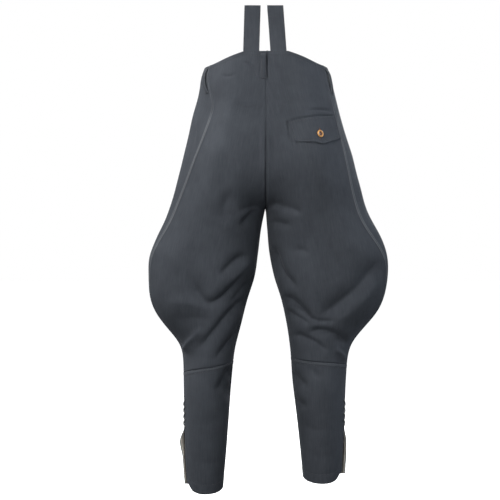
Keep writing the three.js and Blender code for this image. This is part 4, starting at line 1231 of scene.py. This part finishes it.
# ---- Buttons on their patches, with thread through the holes -------------------------------
for name, side, panel, distance, height in BUTTONS:
    places, normals = from_centre_seam(side, panel, distance, np.array([float(height)]),
                                       PATCH + 2 * SEAM)
    make_button(name, places[0], normals[0])
    turn = np.array(stand_on((0, 0, 0), normals[0]).to_3x3())
    stitches = []
    for y in (-HOLE_AT, HOLE_AT):
        ends = np.array([[x, y, BUTTON_WALL - sunk]
                         for x, sunk in ((-HOLE_AT, 1.0), (0, 0.5), (HOLE_AT, 1.0))])
        stitches.append((places[0] + ends @ turn.T, np.broadcast_to(normals[0], (3, 3))))
    sewn_piece(name + "_thread", stitches, BROWN_THREAD, length=4.2, gap=0.1, thick=0.5)

# The buttonhole: a whipped slot that shows above and below the pocket button.
HOLE_UP, HOLE_DOWN, HOLE_HALF = 13.5, 12, 0.7
_, side, panel, distance, height = BUTTONS[0]
heights = np.linspace(height + HOLE_UP, height - HOLE_DOWN, 34)
stitches = [from_centre_seam(side, panel, distance + dx, heights, SEAM + PATCH + 0.2)
            for dx in (-HOLE_HALF, HOLE_HALF)]
sewn_piece("buttonhole_stitching", stitches, BROWN_THREAD, length=1.3, gap=0.15, thick=0.55)

# ---- Lace and eyelets ---------------------------------------------------------------------
CORD_STEPS = 22  # points along the cord from one crossing to the next
CORD_CURVE, CORD_OVER, TURN_SHARPNESS = 0.35, 0.9, 0.985  # rounded face, rise of a crossing
EYELET_WIRE, EYELET_RADIUS, EYELET_LIFT, EYELET_OUT = 0.75, 2.5, 0.35, 1.06


def lace_path(v):
    """Distance across the slit and height of the cord's middle."""
    swing = np.arcsin(TURN_SHARPNESS * np.sin(np.pi * (CROSSINGS * v - 0.5)))
    swing /= np.arcsin(TURN_SHARPNESS)
    return LACE_REACH * swing, LACE_TOP - LACE_DROP * CROSSINGS * v


def ring_mesh():
    """A thin round wire bent into a ring round the origin."""
    ring = bmesh.new()
    bmesh.ops.create_circle(ring, segments=8, radius=EYELET_WIRE * MM)
    bmesh.ops.rotate(ring, verts=ring.verts, cent=(0, 0, 0),
                     matrix=Matrix.Rotation(math.pi / 2, 3, "X"))
    bmesh.ops.translate(ring, verts=ring.verts, vec=(EYELET_RADIUS * MM, 0, 0))
    bmesh.ops.spin(ring, geom=ring.verts[:] + ring.edges[:], cent=(0, 0, 0), axis=(0, 0, 1),
                   angle=2 * math.pi, steps=18, use_merge=True)
    bmesh.ops.remove_doubles(ring, verts=ring.verts, dist=1e-7)
    bmesh.ops.recalc_face_normals(ring, faces=ring.faces)
    return mesh_of(ring, "ring")


for side in SIDES:
    v = np.linspace(0, 1, CROSSINGS * CORD_STEPS + 1)
    middle, height = lace_path(v)
    ahead = unit(np.gradient(np.stack([middle, height], axis=-1), axis=0))
    u = np.linspace(-0.5, 0.5, 5)[None] * LACE_WIDTH
    across = middle[:, None] - ahead[:, 1:] * u
    z = height[:, None] + ahead[:, :1] * u
    rounded = CORD_CURVE * (2 * u / LACE_WIDTH) ** 2
    on_top = (np.arange(len(v)) / CORD_STEPS).astype(int) % 2
    over = CORD_OVER * np.sin(np.pi * (v * CROSSINGS % 1)) * on_top
    out = SEAM + LACE_WALL - rounded + over[:, None]
    points, normals = across_side_seam(side, across, z, out, "calf_")
    for _ in range(6):
        points[1:-1] = (points[:-2] + 2 * points[1:-1] + points[2:]) / 4
    cloth_piece("lace_" + NAMES[side], points, normals, LACE_WALL,
                material=CORD, ending="_cord")
    spots, heights = lace_path(np.arange(CROSSINGS + 1) / CROSSINGS)
    spots = spots * EYELET_OUT
    places, normals = across_side_seam(side, spots, heights, EYELET_LIFT + 0 * spots, "calf_")
    eyelets = bmesh.new()
    for place, normal in zip(places, normals):
        ring = ring_mesh()
        ring.transform(stand_on(place, normal))
        eyelets.from_mesh(ring)
        bpy.data.meshes.remove(ring)
    name = "eyelets_" + NAMES[side]
    belongs(show(mesh_of(eyelets, name), name, THREAD))

# ---- Floor and light ----------------------------------------------------------------------
GLOW_BELOW, GLOW_ABOVE = 0.13, 0.27
FLOOR_Z = -1.10
bm = bmesh.new()
bmesh.ops.create_grid(bm, x_segments=1, y_segments=1, size=30,
                      matrix=Matrix.Translation((0, 0, FLOOR_Z)))
pale = Finish("pale_floor", 0.9, Specular_IOR_Level=0.0, Emission_Color=(1, 1, 1, 1),
              Emission_Strength=0.8)
grain = pale.noise(pale.place(), 2.0)
floor = show(mesh_of(bm, "floor"), "floor", pale.finish(
    pale.mixed(grain, (0.93, 0.93, 0.93, 1), (0.96, 0.96, 0.96, 1)),
    pale.bump(grain, 0.05, 0.001)))
floor.visible_diffuse = False
floor.visible_glossy = False

world = bpy.data.worlds.new("studio")
world.use_nodes = True
sky = Nodes(world.node_tree)
above = sky.add("SeparateXYZ", {0: sky.add("TexCoord").outputs["Generated"]}).outputs["Z"]
glow = sky.span(above, -0.7, 0.8, GLOW_BELOW, GLOW_ABOVE)
seen = sky.add("LightPath").outputs["Is Camera Ray"]
background = sky.nodes["Background"].inputs
sky.join(sky.mixed(seen, (0.92, 0.96, 1.0, 1), (1, 1, 1, 1)), background["Color"])
sky.join(sky.add("Mix", {0: seen, 2: glow, 3: 1.0}).outputs[0], background["Strength"])
bpy.context.scene.world = world

# Lamps: name, place, aim, size, colour, power.
LAMPS = [
    ("key", (0.75, 1.8, 0.35), (0, 0, -0.25), 1.2, (1.0, 0.99, 0.97), 30),
    ("right_fill", (-1.0, 2.0, 0.05), (0.1, 0, -0.25), 1.0, (0.95, 0.98, 1.0), 7),
    ("overhead", (0.6, 1.5, 2.5), (0, 0, -0.4), 1.4, (1.0, 1.0, 0.98), 30),
    ("left_rim", (2.3, -0.7, 1.5), (0.15, 0, -0.3), 0.8, (1.0, 1.0, 1.0), 60),
    ("right_rim", (-2.5, -0.4, 0.9), (-0.15, 0, -0.35), 0.8, (0.84, 0.91, 1.0), 34),
    ("front_fill", (-0.9, -2.8, 1.2), (0, 0, -0.4), 1.8, (1.0, 1.0, 1.0), 60),
]
for name, place, aim, size, colour, power in LAMPS:
    light = bpy.data.lights.new(name, "AREA")
    light.shape = "DISK"
    light.size, light.color, light.energy = size, colour, power
    lamp = bpy.data.objects.new(name, light)
    lamp.location = place
    lamp.rotation_euler = (Vector(aim) - Vector(place)).to_track_quat("-Z", "Y").to_euler()
    bpy.context.scene.collection.objects.link(lamp)
bpy.context.scene.view_settings.view_transform = "Standard"
